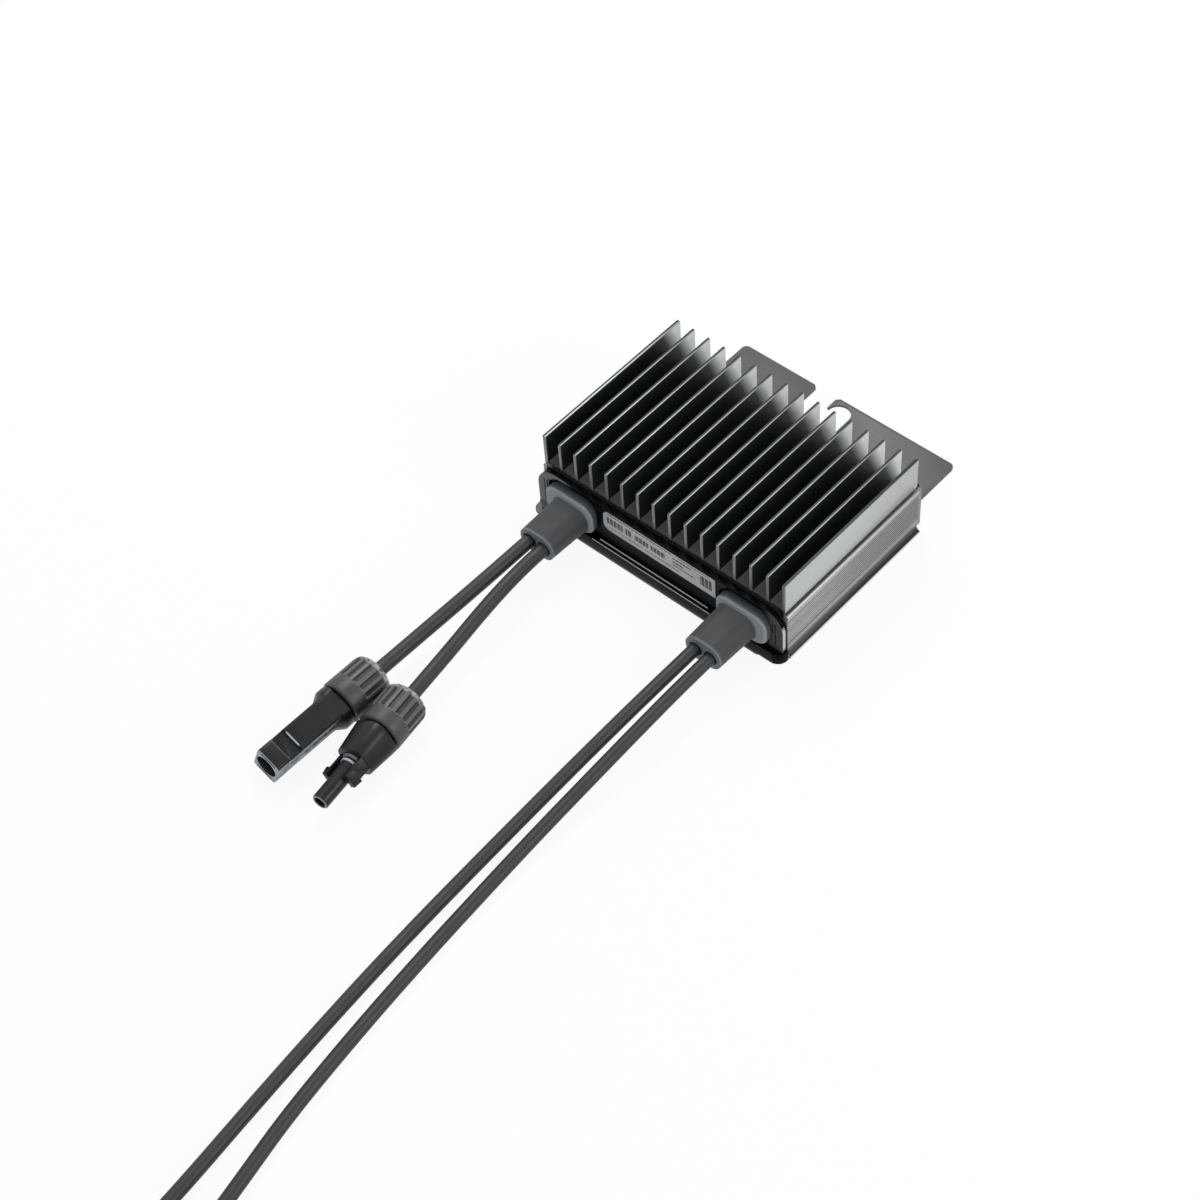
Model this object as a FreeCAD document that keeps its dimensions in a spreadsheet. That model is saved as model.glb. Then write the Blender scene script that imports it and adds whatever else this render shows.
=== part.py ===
import FreeCAD, Part
import math
import os

import Sketcher

# A solar power optimizer: a finned aluminium extrusion closed by two moulded end covers and a base cover,
# on a sheet-metal mounting bracket, with two leads out of each of its two rubber boots.
# X runs across the fins, the leads leave towards -Y, Z is up and the bracket lies on Z = 0.

doc = FreeCAD.newDocument("PowerOptimizer")
sheet = doc.addObject("Spreadsheet::Sheet", "Sizes")
X_AXIS = FreeCAD.Vector(1, 0, 0)
Y_AXIS = FreeCAD.Vector(0, 1, 0)
Z_AXIS = FreeCAD.Vector(0, 0, 1)
COUNTERCLOCKWISE = 1
CLOCKWISE = -1


class Size:
    """A length, with the sheet formula that gives it."""

    def __init__(self, value, formula):
        self.value = value
        self.formula = formula

    def _combine(self, other, sign, value):
        return Size(value, f"({self.formula} {sign} {as_size(other).formula})")

    def __add__(self, other):
        return self._combine(other, "+", self.value + as_size(other).value)

    def __sub__(self, other):
        return self._combine(other, "-", self.value - as_size(other).value)

    def __mul__(self, other):
        return self._combine(other, "*", self.value * as_size(other).value)

    def __truediv__(self, other):
        return self._combine(other, "/", self.value / as_size(other).value)

    def __neg__(self):
        return Size(-self.value, f"(0 - {self.formula})")


def as_size(number):
    return number if isinstance(number, Size) else Size(float(number), f"({number})")


def size(alias, number):
    """One driving dimension: a row of the sheet, with its name beside it."""
    row = size.rows = getattr(size, "rows", 0) + 1
    sheet.set(f"A{row}", alias.replace("_", " "))
    sheet.set(f"B{row}", str(number))
    sheet.setAlias(f"B{row}", alias)
    return Size(float(number), f"Sizes.{alias}")


# Body extrusion
body_length = size("body_length", 82.8)
body_width = size("body_width", 124.2)
body_height = size("body_height", 27.2)
plate_thickness = size("plate_thickness", 3.0)
wall_thickness = size("wall_thickness", 2.2)
inner_fin_count = 14
fin_height = size("fin_height", 15.0)
fin_thickness = size("fin_thickness", 1.2)
edge_fin_thickness = size("edge_fin_thickness", 1.5)
wall_stand_out = size("wall_stand_out", 1.3)
band_drop = size("band_drop", 0.8)
band_groove_height = size("band_groove_height", 1.5)
band_groove_depth = size("band_groove_depth", 0.8)
band_round = size("band_round", 1.1)
rib_count = 10
rib_pitch = size("rib_pitch", 1.3)
rib_groove_width = size("rib_groove_width", 0.9)
rib_groove_depth = size("rib_groove_depth", 0.55)
rib_start_drop = size("rib_start_drop", 4.4)
flare_start = size("flare_start", 5.2)
flare_radius = size("flare_radius", 2.6)
bead_radius = size("bead_radius", 0.75)
bead_stand_out = size("bead_stand_out", 1.4)
flange_reach = size("flange_reach", 15.2)
flange_thickness = size("flange_thickness", 2.0)
rail_reach = size("rail_reach", 1.8)
rail_thickness = size("rail_thickness", 1.2)

# Mounting bracket and its rivets
bracket_thickness = size("bracket_thickness", 1.2)
bracket_overhang = size("bracket_overhang", 38.2)
bracket_inset_left = size("bracket_inset_left", 4.3)
bracket_inset_right = size("bracket_inset_right", 8.1)
bracket_corner = size("bracket_corner", 2.5)
bracket_setback = size("bracket_setback", 0.1)
ear_reach = size("ear_reach", 8.8)
ear_length = size("ear_length", 17.0)
ear_corner = size("ear_corner", 3.5)
gap_left = size("gap_left", 18.1)
gap_width = size("gap_width", 10.7)
gap_depth = size("gap_depth", 22.0)
hook_tip_width = size("hook_tip_width", 0.9)
hook_chamfer = size("hook_chamfer", 1.5)
hook_wall = size("hook_wall", 2.0)
slot_width = size("slot_width", 10.5)
rivet_inset_x = size("rivet_inset_x", 12.1)
rivet_inset_y = size("rivet_inset_y", 11.4)
rivet_radius = size("rivet_radius", 1.6)
rivet_head_radius = size("rivet_head_radius", 3.0)
rivet_clearance = size("rivet_clearance", 0.05)

# Covers, gaskets and label
cover_thickness = size("cover_thickness", 2.9)
cover_margin = size("cover_margin", 0.2)
rear_cover_inset = size("rear_cover_inset", 1.4)
cover_top_drop = size("cover_top_drop", 0.9)
cover_corner = size("cover_corner", 9.5)
rear_cover_corner = size("rear_cover_corner", 6.0)
lip_height = size("lip_height", 5.7)
lip_reach = size("lip_reach", 2.5)
lip_stand_out = size("lip_stand_out", 0.7)
lip_corner = size("lip_corner", 4.8)
lip_bead_radius = size("lip_bead_radius", 0.6)
lip_bead_gap_left = size("lip_bead_gap_left", 2.15)
lip_bead_gap_right = size("lip_bead_gap_right", 5.65)
lip_bead_setback = size("lip_bead_setback", 1.75)
boot_pocket_clearance = size("boot_pocket_clearance", 0.15)
boot_pocket_drop = size("boot_pocket_drop", 0.8)
boot_pocket_corner = size("boot_pocket_corner", 7.0)
boot_pocket_depth = size("boot_pocket_depth", 1.5)
end_groove_width = size("end_groove_width", 0.55)
end_groove_depth = size("end_groove_depth", 1.0)
end_groove_inset = size("end_groove_inset", 3.6)
end_groove_spacing = size("end_groove_spacing", 1.5)
long_groove_length = size("long_groove_length", 12.6)
short_groove_length = size("short_groove_length", 6.6)
end_groove_drop = size("end_groove_drop", 5.0)
skirt_reach = size("skirt_reach", 3.6)
skirt_thickness = size("skirt_thickness", 1.6)
skirt_corner = size("skirt_corner", 2.0)
fit_clearance = size("fit_clearance", 0.2)
gasket_thickness = size("gasket_thickness", 0.6)
gasket_inset = size("gasket_inset", 0.4)
base_cover_thickness = size("base_cover_thickness", 1.5)
label_gap_left = size("label_gap_left", 3.85)
label_gap_right = size("label_gap_right", 1.65)
label_height = size("label_height", 10.6)
label_drop = size("label_drop", 1.2)
label_corner = size("label_corner", 3.2)
label_thickness = size("label_thickness", 0.3)

# Rubber boots
boot_flange_width = size("boot_flange_width", 25.6)
boot_flange_height = size("boot_flange_height", 15.8)
boot_flange_corner = size("boot_flange_corner", 6.0)
boot_flange_thickness = size("boot_flange_thickness", 4.4)
boot_flange_chamfer = size("boot_flange_chamfer", 0.9)
boot_flange_inset = size("boot_flange_inset", 17.3)
boot_flange_lift = size("boot_flange_lift", 0.9)
boot_reach = size("boot_reach", 27.0)
sleeve_inset = size("sleeve_inset", 18.7)
sleeve_height = size("sleeve_height", 14.8)
sleeve_root_width = size("sleeve_root_width", 18.4)
sleeve_root_depth = size("sleeve_root_depth", 12.9)
sleeve_tip_width = size("sleeve_tip_width", 17.6)
sleeve_tip_depth = size("sleeve_tip_depth", 12.2)
sleeve_corner = size("sleeve_corner", 5.8)
sleeve_flare = size("sleeve_flare", 1.2)
neck_width = size("neck_width", 15.2)
neck_height = size("neck_height", 9.0)
neck_corner = size("neck_corner", 4.2)
neck_lip = size("neck_lip", 1.2)
neck_lip_thickness = size("neck_lip_thickness", 2.4)
lead_spacing = size("lead_spacing", 7.4)
bore_mouth_depth = size("bore_mouth_depth", 0.9)
bore_mouth_margin = size("bore_mouth_margin", 0.45)

# Leads
input_cable_radius = size("input_cable_radius", 3.0)
output_cable_radius = size("output_cable_radius", 2.75)
conductor_radius = size("conductor_radius", 1.3)
lead_inside = size("lead_inside", 9.0)
bare_lead = size("bare_lead", 8.0)
terminal_width = size("terminal_width", 6.0)
terminal_length = size("terminal_length", 9.6)
terminal_gap = size("terminal_gap", 0.3)
conductor_clearance = size("conductor_clearance", 0.1)
coil_clearance = size("coil_clearance", 0.25)
tail_length = size("tail_length", 30.0)
input_lead_straight = size("input_lead_straight", 14.0)
output_lead_straight = size("output_lead_straight", 16.0)
floor_clearance = size("floor_clearance", 0.05)

# Circuit board and what is on it
board_thickness = size("board_thickness", 1.6)
board_end_gap = size("board_end_gap", 0.4)
transistor_height = size("transistor_height", 4.0)
transistor_width = size("transistor_width", 10.0)
transistor_depth = size("transistor_depth", 9.0)
transistor_pitch = size("transistor_pitch", 17.0)
transistor_setback = size("transistor_setback", 30.0)
transistor_count = 6
tab_length = size("tab_length", 5.0)
tab_thickness = size("tab_thickness", 1.3)
thermal_pad_thickness = size("thermal_pad_thickness", 0.8)
thermal_pad_margin = size("thermal_pad_margin", 3.0)
core_width = size("core_width", 30.0)
core_depth = size("core_depth", 20.0)
core_height = size("core_height", 11.0)
core_leg = size("core_leg", 4.5)
core_centre_leg = size("core_centre_leg", 8.0)
core_yoke = size("core_yoke", 2.2)
core_x = size("core_x", 6.0)
core_gap = size("core_gap", 1.6)
winding_clearance = size("winding_clearance", 0.2)
winding_build = size("winding_build", 4.6)
capacitor_radius = size("capacitor_radius", 5.0)
capacitor_height = size("capacitor_height", 11.0)
capacitor_pitch = size("capacitor_pitch", 12.5)
capacitor_inset = size("capacitor_inset", 9.0)
capacitor_count = 5
film_width = size("film_width", 18.0)
film_depth = size("film_depth", 8.0)
film_height = size("film_height", 11.5)
film_round = size("film_round", 1.0)
film_margin = size("film_margin", 2.4)
film_gap = size("film_gap", 3.0)
chip_side = size("chip_side", 9.0)
chip_thickness = size("chip_thickness", 1.2)
chip_inset = size("chip_inset", 20.9)

# Lead connectors, drawn along their own +X from the back of the nut
nut_radius = size("nut_radius", 9.5)
nut_length = size("nut_length", 20.2)
nut_wall = size("nut_wall", 2.4)
nut_back_radius = size("nut_back_radius", 6.2)
nut_back_length = size("nut_back_length", 3.4)
nut_shoulder_radius = size("nut_shoulder_radius", 8.5)
nut_shoulder_length = size("nut_shoulder_length", 1.2)
nut_front_chamfer = size("nut_front_chamfer", 0.7)
flute_count = 16
flute_length = size("flute_length", 13.4)
flute_width = size("flute_width", 1.9)
flute_depth = size("flute_depth", 0.9)
cable_clearance = size("cable_clearance", 0.35)
tail_radius = size("tail_radius", 7.1)
tail_bore_radius = size("tail_bore_radius", 5.4)
tail_start = size("tail_start", 5.0)
thread_clearance = size("thread_clearance", 0.25)
nut_gap = size("nut_gap", 1.1)
grommet_clearance = size("grommet_clearance", 0.1)
grommet_length = size("grommet_length", 7.0)
back_bore_end = size("back_bore_end", 24.0)
socket_length = size("socket_length", 58.9)
plug_length = size("plug_length", 57.3)
cable_seat = size("cable_seat", 12.0)
barrel_radius = size("barrel_radius", 2.3)
collar_radius = size("collar_radius", 3.2)
collar_thickness = size("collar_thickness", 1.4)
socket_shoulder_radius = size("socket_shoulder_radius", 9.1)
socket_shoulder_length = size("socket_shoulder_length", 3.2)
socket_taper_length = size("socket_taper_length", 5.6)
arm_width = size("arm_width", 11.4)
arm_height = size("arm_height", 14.5)
arm_corner = size("arm_corner", 1.4)
arm_rim = size("arm_rim", 0.8)
arm_cavity_depth = size("arm_cavity_depth", 17.0)
arm_slot_width = size("arm_slot_width", 7.8)
arm_slot_height = size("arm_slot_height", 1.15)
arm_slot_wall = size("arm_slot_wall", 0.6)
arm_slot_depth = size("arm_slot_depth", 8.0)
arm_rail_width = size("arm_rail_width", 4.2)
arm_rail_stand_out = size("arm_rail_stand_out", 0.6)
window_length = size("window_length", 6.1)
window_depth = size("window_depth", 1.7)
window_from_end = size("window_from_end", 6.4)
pin_radius = size("pin_radius", 2.0)
pin_free_length = size("pin_free_length", 14.0)
pin_nose_length = size("pin_nose_length", 0.9)
pin_nose_step = size("pin_nose_step", 0.6)
contact_clearance = size("contact_clearance", 0.1)
partition_length = size("partition_length", 12.0)
plug_body_length = size("plug_body_length", 14.0)
plug_root_width = size("plug_root_width", 17.1)
plug_root_height = size("plug_root_height", 16.3)
plug_shoulder_step = size("plug_shoulder_step", 1.0)
plug_body_corner = size("plug_body_corner", 5.5)
plug_body_taper = 6.0
plug_tube_radius = size("plug_tube_radius", 3.5)
plug_tube_bore = size("plug_tube_bore", 2.5)
plug_mouth_length = size("plug_mouth_length", 10.0)
contact_bore = size("contact_bore", 2.75)
tube_clearance = size("tube_clearance", 0.2)
sleeve_contact_gap = size("sleeve_contact_gap", 0.8)
sleeve_contact_floor = size("sleeve_contact_floor", 1.0)
prong_length = size("prong_length", 10.3)
prong_offset = size("prong_offset", 5.9)
prong_thickness = size("prong_thickness", 1.4)
prong_height = size("prong_height", 5.8)
barb_height = size("barb_height", 1.8)
barb_tip_height = size("barb_tip_height", 0.9)
barb_length = size("barb_length", 3.7)
seal_thickness = size("seal_thickness", 1.3)
seal_chamfer = size("seal_chamfer", 0.35)

# How far a cutting shape runs past the surface that it cuts
cutter_overrun = size("cutter_overrun", 1.0)

# Heights, places and fits that follow from the sizes above
body_floor = bracket_thickness
flange_top = body_floor + flange_thickness
plate_top = body_floor + body_height
plate_under = plate_top - plate_thickness
fin_top = plate_top + fin_height
fin_face = body_width / 2
wall_face = fin_face + wall_stand_out
wall_inner = wall_face - wall_thickness
rail_edge = wall_inner - rail_reach
flange_edge = wall_inner - flange_reach
bracket_left = fin_face - bracket_inset_left
bracket_right = fin_face - bracket_inset_right
rivet_x = fin_face - rivet_inset_x
boot_flange_centre = fin_face - boot_flange_inset
boot_pocket_half = boot_flange_width / 2 + boot_pocket_clearance
boot_pocket_edge = boot_flange_centre - boot_pocket_half
sleeve_centre = fin_face - sleeve_inset
label_left = boot_pocket_edge - label_gap_left
label_right = boot_pocket_edge - label_gap_right
lip_bead_left = boot_pocket_edge - lip_bead_gap_left
lip_bead_right = boot_pocket_edge - lip_bead_gap_right
thermal_pad_floor = plate_under - thermal_pad_thickness
board_top = thermal_pad_floor - transistor_height
board_under = board_top - board_thickness
base_cover_top = flange_top + base_cover_thickness
depth = boot_reach + body_length + bracket_overhang
front_end = boot_reach - depth / 2
back_end = front_end + body_length
bracket_rear = back_end + bracket_overhang
cover_inner = front_end - gasket_thickness
cover_face = cover_inner - cover_thickness
pocket_floor = cover_face + boot_pocket_depth
cover_half_width = wall_face + cover_margin
cover_top = plate_top - cover_top_drop
boot_pocket_top = cover_top - boot_pocket_drop
lip_top = body_floor + lip_height
lip_face = cover_face - lip_reach
skirt_half_width = rail_edge - fit_clearance
skirt_floor = base_cover_top + fit_clearance
skirt_top = plate_under - fit_clearance
skirt_end = cover_inner + skirt_reach
boot_flange_face = pocket_floor - boot_flange_thickness
boot_flange_floor = lip_top + boot_flange_lift
sleeve_end = front_end - boot_reach
lead_end = front_end + lead_inside
lead_tip = lead_end + bare_lead
terminal_start = lead_end + terminal_gap
board_front = skirt_end + board_end_gap
rear_cover_inner = back_end + gasket_thickness
board_rear = rear_cover_inner - skirt_reach - board_end_gap
capacitor_y = board_rear - capacitor_inset
film_x = rail_edge - film_margin - film_width / 2
last_capacitor_x = film_x - film_width / 2 - film_gap - capacitor_radius
winding_reach = core_depth / 2 + winding_clearance + winding_build
core_y = capacitor_y - capacitor_radius - core_gap - winding_reach
chip_x = fin_face - chip_inset - chip_side
tail_end = nut_length + nut_gap
arm_end = socket_length
plug_face = tail_end + plug_body_length


def plane_of(body, role):
    return next(feature for feature in body.Origin.OriginFeatures if feature.Role == role)


def new_body(label):
    body = doc.addObject("PartDesign::Body", label)
    body.Label = label
    return body


def new_sketch(body, name, plane, offset=None):
    """A sketch on one of the body's own planes, moved along the plane's normal by offset."""
    sketch = body.newObject("Sketcher::SketchObject", name)
    sketch.AttachmentSupport = [(plane_of(body, plane), "")]
    sketch.MapMode = "FlatFace"
    if offset is not None:
        sketch.AttachmentOffset = FreeCAD.Placement(FreeCAD.Vector(0, 0, offset.value), FreeCAD.Rotation())
        sketch.setExpression("AttachmentOffset.Base.z", offset.formula)
    return sketch


def across_y(body, name, y):
    """A sketch square to Y at the given y: its own directions are global X and Z, and it faces -Y."""
    return new_sketch(body, name, "XZ_Plane", -as_size(y))


def bind(sketch, constraint, length):
    index = sketch.addConstraint(constraint)
    sketch.setExpression(f"Constraints[{index}]", length.formula)


def draw_outline(sketch, corners):
    """Close a line through the corners, each (x, y), or (x, y, radius, turn) where an arc leaves it."""
    points = [FreeCAD.Vector(as_size(corner[0]).value, as_size(corner[1]).value, 0) for corner in corners]
    ends = []
    for index, corner in enumerate(corners):
        start = points[index]
        end = points[(index + 1) % len(points)]
        if len(corner) == 2:
            edge = sketch.addGeometry(Part.LineSegment(start, end), False)
            ends.append((edge, 1, 2))
            continue
        radius, turn = corner[2:]
        chord = end - start
        left = FreeCAD.Vector(-chord.y, chord.x, 0) / chord.Length
        reach = math.sqrt(max(radius.value ** 2 - chord.Length ** 2 / 4, 0))
        centre = start + chord / 2 + left * reach * turn
        first, last = (start, end) if turn == COUNTERCLOCKWISE else (end, start)
        circle = Part.Circle(centre, Z_AXIS, radius.value)
        angles = [math.atan2(p.y - centre.y, p.x - centre.x) for p in (first, last)]
        edge = sketch.addGeometry(Part.ArcOfCircle(circle, *angles), False)
        ends.append((edge, 1, 2) if turn == COUNTERCLOCKWISE else (edge, 2, 1))
        bind(sketch, Sketcher.Constraint("Radius", edge, radius.value), radius)
    for index, (edge, start, end) in enumerate(ends):
        following, following_start, _ = ends[(index + 1) % len(ends)]
        sketch.addConstraint(Sketcher.Constraint("Coincident", edge, end, following, following_start))
        for kind, length in zip(("DistanceX", "DistanceY"), corners[index][:2]):
            length = as_size(length)
            bind(sketch, Sketcher.Constraint(kind, -1, 1, edge, start, length.value), length)


def mirrored(side):
    """The same corners on the other side of the Y direction, in the order that carries the line on."""
    result = []
    for index in range(len(side) - 1, -1, -1):
        bend = side[index - 1][2:] if index else ()
        result.append((-as_size(side[index][0]), side[index][1]) + bend)
    return result


def draw_rounded_box(sketch, left, right, low, high, radius):
    """A rectangle with four round corners, drawn counterclockwise."""
    turn = (radius, COUNTERCLOCKWISE)
    draw_outline(sketch, [
        (left + radius, low), (right - radius, low) + turn,
        (right, low + radius), (right, high - radius) + turn,
        (right - radius, high), (left + radius, high) + turn,
        (left, high - radius), (left, low + radius) + turn,
    ])


def draw_circle(sketch, x, y, radius):
    centre = FreeCAD.Vector(as_size(x).value, as_size(y).value, 0)
    edge = sketch.addGeometry(Part.Circle(centre, Z_AXIS, radius.value), False)
    bind(sketch, Sketcher.Constraint("Radius", edge, radius.value), radius)
    for kind, length in (("DistanceX", as_size(x)), ("DistanceY", as_size(y))):
        bind(sketch, Sketcher.Constraint(kind, -1, 1, edge, 3, length.value), length)


def feature_of(body, kind, name, sketch, length=None, back=False):
    """A pad or pocket of the sketch, by length or, without one, through everything."""
    feature = body.newObject(f"PartDesign::{kind}", name)
    feature.Profile = sketch
    feature.Reversed = back
    if length is None:
        feature.Type = "ThroughAll"
    else:
        feature.Length = as_size(length).value
        feature.setExpression("Length", as_size(length).formula)
    sketch.Visibility = False
    return feature


def pad(body, name, sketch, length, back=False):
    return feature_of(body, "Pad", name, sketch, length, back)


def pocket(body, name, sketch, length=None, back=False):
    return feature_of(body, "Pocket", name, sketch, length, back)


def repeat_along(body, name, feature, sketch, axis, pitch, count):
    pattern = body.newObject("PartDesign::LinearPattern", name)
    pattern.Originals = [feature]
    pattern.Direction = (sketch, [axis])
    span = pitch * (count - 1)
    pattern.Length = span.value
    pattern.setExpression("Length", span.formula)
    pattern.Occurrences = count
    body.Tip = pattern
    return pattern


def revolve(body, name, corners, kind="Revolution"):
    """Turn corners (distance along X, radius) about the body's X axis."""
    sketch = new_sketch(body, f"{name}Sketch", "XZ_Plane")
    draw_outline(sketch, corners)
    feature = body.newObject(f"PartDesign::{kind}", name)
    feature.Profile = sketch
    feature.ReferenceAxis = (sketch, ["H_Axis"])
    feature.Angle = 360.0
    sketch.Visibility = False
    return feature


def bind_place(item, x, y, z):
    for axis, length in zip("xyz", (x, y, z)):
        length = as_size(length)
        setattr(item.Placement.Base, axis, length.value)
        item.setExpression(f"Placement.Base.{axis}", length.formula)
    return item


def bind_sizes(item, **lengths):
    for name, length in lengths.items():
        setattr(item, name, as_size(length).value)
        item.setExpression(name, as_size(length).formula)
    return item


def block(name, x, y, z, width, length, height):
    """A box by its low corner and its sizes along X, Y and Z."""
    item = doc.addObject("Part::Box", name)
    bind_sizes(item, Width=length, Length=width, Height=height)
    return bind_place(item, x, y, z)


def rod(name, x, y, z, radius, height, axis=Z_AXIS):
    item = doc.addObject("Part::Cylinder", name)
    item.Placement.Rotation = FreeCAD.Rotation(Z_AXIS, axis)
    bind_sizes(item, Radius=radius, Height=height)
    return bind_place(item, x, y, z)


def cut(name, base, tool):
    item = doc.addObject("Part::Cut", name)
    item.Base = base
    item.Tool = tool
    item.Label = name
    return item


def join(name, items):
    item = doc.addObject("Part::MultiFuse", name)
    item.Shapes = items
    item.Label = name
    return item


def group(name, items):
    """Separate solids that make one sub-part."""
    item = doc.addObject("Part::Compound", name)
    item.Links = items
    item.Label = name
    return item


def make_heat_sink():
    """The extrusion: finned plate, ribbed walls that flare to a bead, and two inward flanges."""
    body = new_body("heat_sink")
    groove_top = plate_top - band_drop
    band_top = groove_top - band_groove_height
    groove_floor = fin_face - band_groove_depth
    fin_inner = fin_face - edge_fin_thickness
    bead_x = wall_face + bead_stand_out - bead_radius
    bead_middle = body_floor + bead_radius
    rail_top = board_under
    side = [
        (fin_inner, plate_top), (fin_inner, fin_top), (fin_face, fin_top), (fin_face, groove_top),
        (groove_floor, groove_top), (groove_floor, band_top),
        (wall_face - band_round, band_top, band_round, CLOCKWISE), (wall_face, band_top - band_round),
        (wall_face, body_floor + flare_start, flare_radius, COUNTERCLOCKWISE),
        (bead_x, bead_middle + bead_radius, bead_radius, CLOCKWISE),
        (bead_x + bead_radius, bead_middle, bead_radius, CLOCKWISE), (bead_x, body_floor),
        (flange_edge, body_floor), (flange_edge, flange_top), (wall_inner, flange_top),
        (wall_inner, rail_top - rail_thickness), (rail_edge, rail_top - rail_thickness),
        (rail_edge, rail_top), (wall_inner, rail_top), (wall_inner, plate_under),
    ]
    section = across_y(body, "SectionSketch", back_end)
    draw_outline(section, side + mirrored(side))
    pad(body, "Section", section, body_length)

    fin_pitch = (body_width - fin_thickness) / (inner_fin_count + 1)
    first_fin = fin_pitch - fin_face
    fin_sketch = across_y(body, "FinSketch", back_end)
    draw_outline(fin_sketch, [
        (first_fin, plate_top), (first_fin + fin_thickness, plate_top),
        (first_fin + fin_thickness, fin_top), (first_fin, fin_top),
    ])
    fin = pad(body, "Fin", fin_sketch, body_length)
    repeat_along(body, "Fins", fin, fin_sketch, "H_Axis", fin_pitch, inner_fin_count)

    first_groove = plate_top - rib_start_drop - rib_pitch * rib_count
    half_width = rib_groove_width / 2
    over = wall_face + bead_stand_out
    notch = [
        (over, first_groove + half_width), (wall_face, first_groove + half_width),
        (wall_face - rib_groove_depth, first_groove), (wall_face, first_groove - half_width),
        (over, first_groove - half_width),
    ]
    groove_sketch = across_y(body, "GrooveSketch", front_end)
    draw_outline(groove_sketch, notch)
    draw_outline(groove_sketch, mirrored(notch))
    groove = pocket(body, "Groove", groove_sketch)
    repeat_along(body, "Grooves", groove, groove_sketch, "V_Axis", rib_pitch, rib_count + 1)

    holes = new_sketch(body, "RivetHoleSketch", "XY_Plane", flange_top)
    for x, y in rivet_places():
        draw_circle(holes, x, y, rivet_radius + rivet_clearance)
    pocket(body, "RivetHoles", holes, flange_thickness)
    return body


def rivet_places():
    rows = (front_end + rivet_inset_y, back_end - rivet_inset_y)
    return [(rivet_x * side, y) for side in (-1, 1) for y in rows]


def make_bracket():
    """A flat stainless sheet with an ear at one front corner and a hooked bolt slot at its rear edge."""
    body = new_body("mounting_bracket")
    corner = (bracket_corner, CLOCKWISE)
    outside = (ear_corner, CLOCKWISE)
    inside = (ear_corner, COUNTERCLOCKWISE)
    front = lip_face + bracket_setback
    ear_shoulder = front + ear_length - ear_corner
    ear_left = -(bracket_left + ear_reach)
    left = -bracket_left
    gap_right = gap_width - gap_left
    floor = bracket_rear - gap_depth
    slot_radius = slot_width / 2
    slot_left = gap_right + hook_tip_width
    slot_right = slot_left + slot_width
    slot_middle = bracket_rear - hook_wall - slot_radius
    slot_end = (slot_radius, COUNTERCLOCKWISE)
    sketch = new_sketch(body, "SheetSketch", "XY_Plane")
    draw_outline(sketch, [
        (left, front + ear_length), (left, bracket_rear - bracket_corner) + corner,
        (left + bracket_corner, bracket_rear), (-gap_left - hook_chamfer, bracket_rear),
        (-gap_left, bracket_rear - hook_chamfer), (-gap_left, floor + slot_radius) + slot_end,
        (slot_radius - gap_left, floor), (slot_right - slot_radius, floor) + slot_end,
        (slot_right, floor + slot_radius), (slot_right, slot_middle) + slot_end,
        (slot_right - slot_radius, slot_middle + slot_radius) + slot_end,
        (slot_left, slot_middle), (gap_right, slot_middle), (gap_right, bracket_rear - hook_chamfer),
        (gap_right + hook_chamfer, bracket_rear), (bracket_right - bracket_corner, bracket_rear) + corner,
        (bracket_right, bracket_rear - bracket_corner), (bracket_right, front + bracket_corner) + corner,
        (bracket_right - bracket_corner, front), (ear_left + ear_corner, front) + outside,
        (ear_left, front + ear_corner), (ear_left, ear_shoulder - ear_corner) + outside,
        (ear_left + ear_corner, ear_shoulder), (left - ear_corner, ear_shoulder) + inside,
    ])
    pad(body, "Sheet", sketch, bracket_thickness)
    for index, (x, y) in enumerate(rivet_places()):
        hole = body.newObject("PartDesign::SubtractiveCone", f"RivetSeat{index + 1}")
        bind_sizes(hole, Radius1=rivet_head_radius + rivet_clearance, Radius2=rivet_radius + rivet_clearance,
                   Height=bracket_thickness)
        bind_place(hole, x, y, 0)
    return body


def make_rivets():
    """Countersunk rivets, flush under the sheet and upset flush with the top of the flanges."""
    items = []
    for index, (x, y) in enumerate(rivet_places()):
        head = doc.addObject("Part::Cone", f"rivet_head_{index + 1}")
        bind_sizes(head, Radius1=rivet_head_radius, Radius2=rivet_radius, Height=bracket_thickness)
        bind_place(head, x, y, 0)
        shank = rod(f"rivet_shank_{index + 1}", x, y, bracket_thickness, rivet_radius, flange_thickness)
        items.append(join(f"rivet_{index + 1}", [head, shank]))
    return group("bracket_rivets", items)


def cover_plate_outline(margin=0, corner=cover_corner):
    """Half of an end cover's outline, inset by margin: square at the foot, with a wide round at the top."""
    half = cover_half_width - margin
    top = cover_top - margin
    radius = corner - margin
    return [
        (half - radius, top, radius, CLOCKWISE), (half, top - radius),
        (half, body_floor + margin),
    ]


def draw_skirt(sketch, margin=0):
    half = skirt_half_width + margin
    draw_rounded_box(sketch, -half, half, skirt_floor - margin, skirt_top + margin, skirt_corner)


def add_plate_and_skirt(body, outer_y, inner_y, skirt_back, margin=0, corner=cover_corner):
    """The plate of an end cover, and the hollow skirt that centres it inside the extrusion."""
    plate_sketch = across_y(body, "PlateSketch", max((outer_y, inner_y), key=lambda y: y.value))
    half = cover_plate_outline(margin, corner)
    draw_outline(plate_sketch, half + mirrored(half))
    pad(body, "Plate", plate_sketch, cover_thickness)
    skirt_sketch = across_y(body, "SkirtSketch", inner_y)
    draw_skirt(skirt_sketch)
    inner = skirt_half_width - skirt_thickness
    draw_rounded_box(skirt_sketch, -inner, inner, skirt_floor + skirt_thickness, skirt_top - skirt_thickness,
                     skirt_corner / 2)
    pad(body, "Skirt", skirt_sketch, skirt_reach, back=skirt_back)


def boot_sides():
    """Each boot's name and the side it is on."""
    return (("left", -1), ("right", 1))


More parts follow.
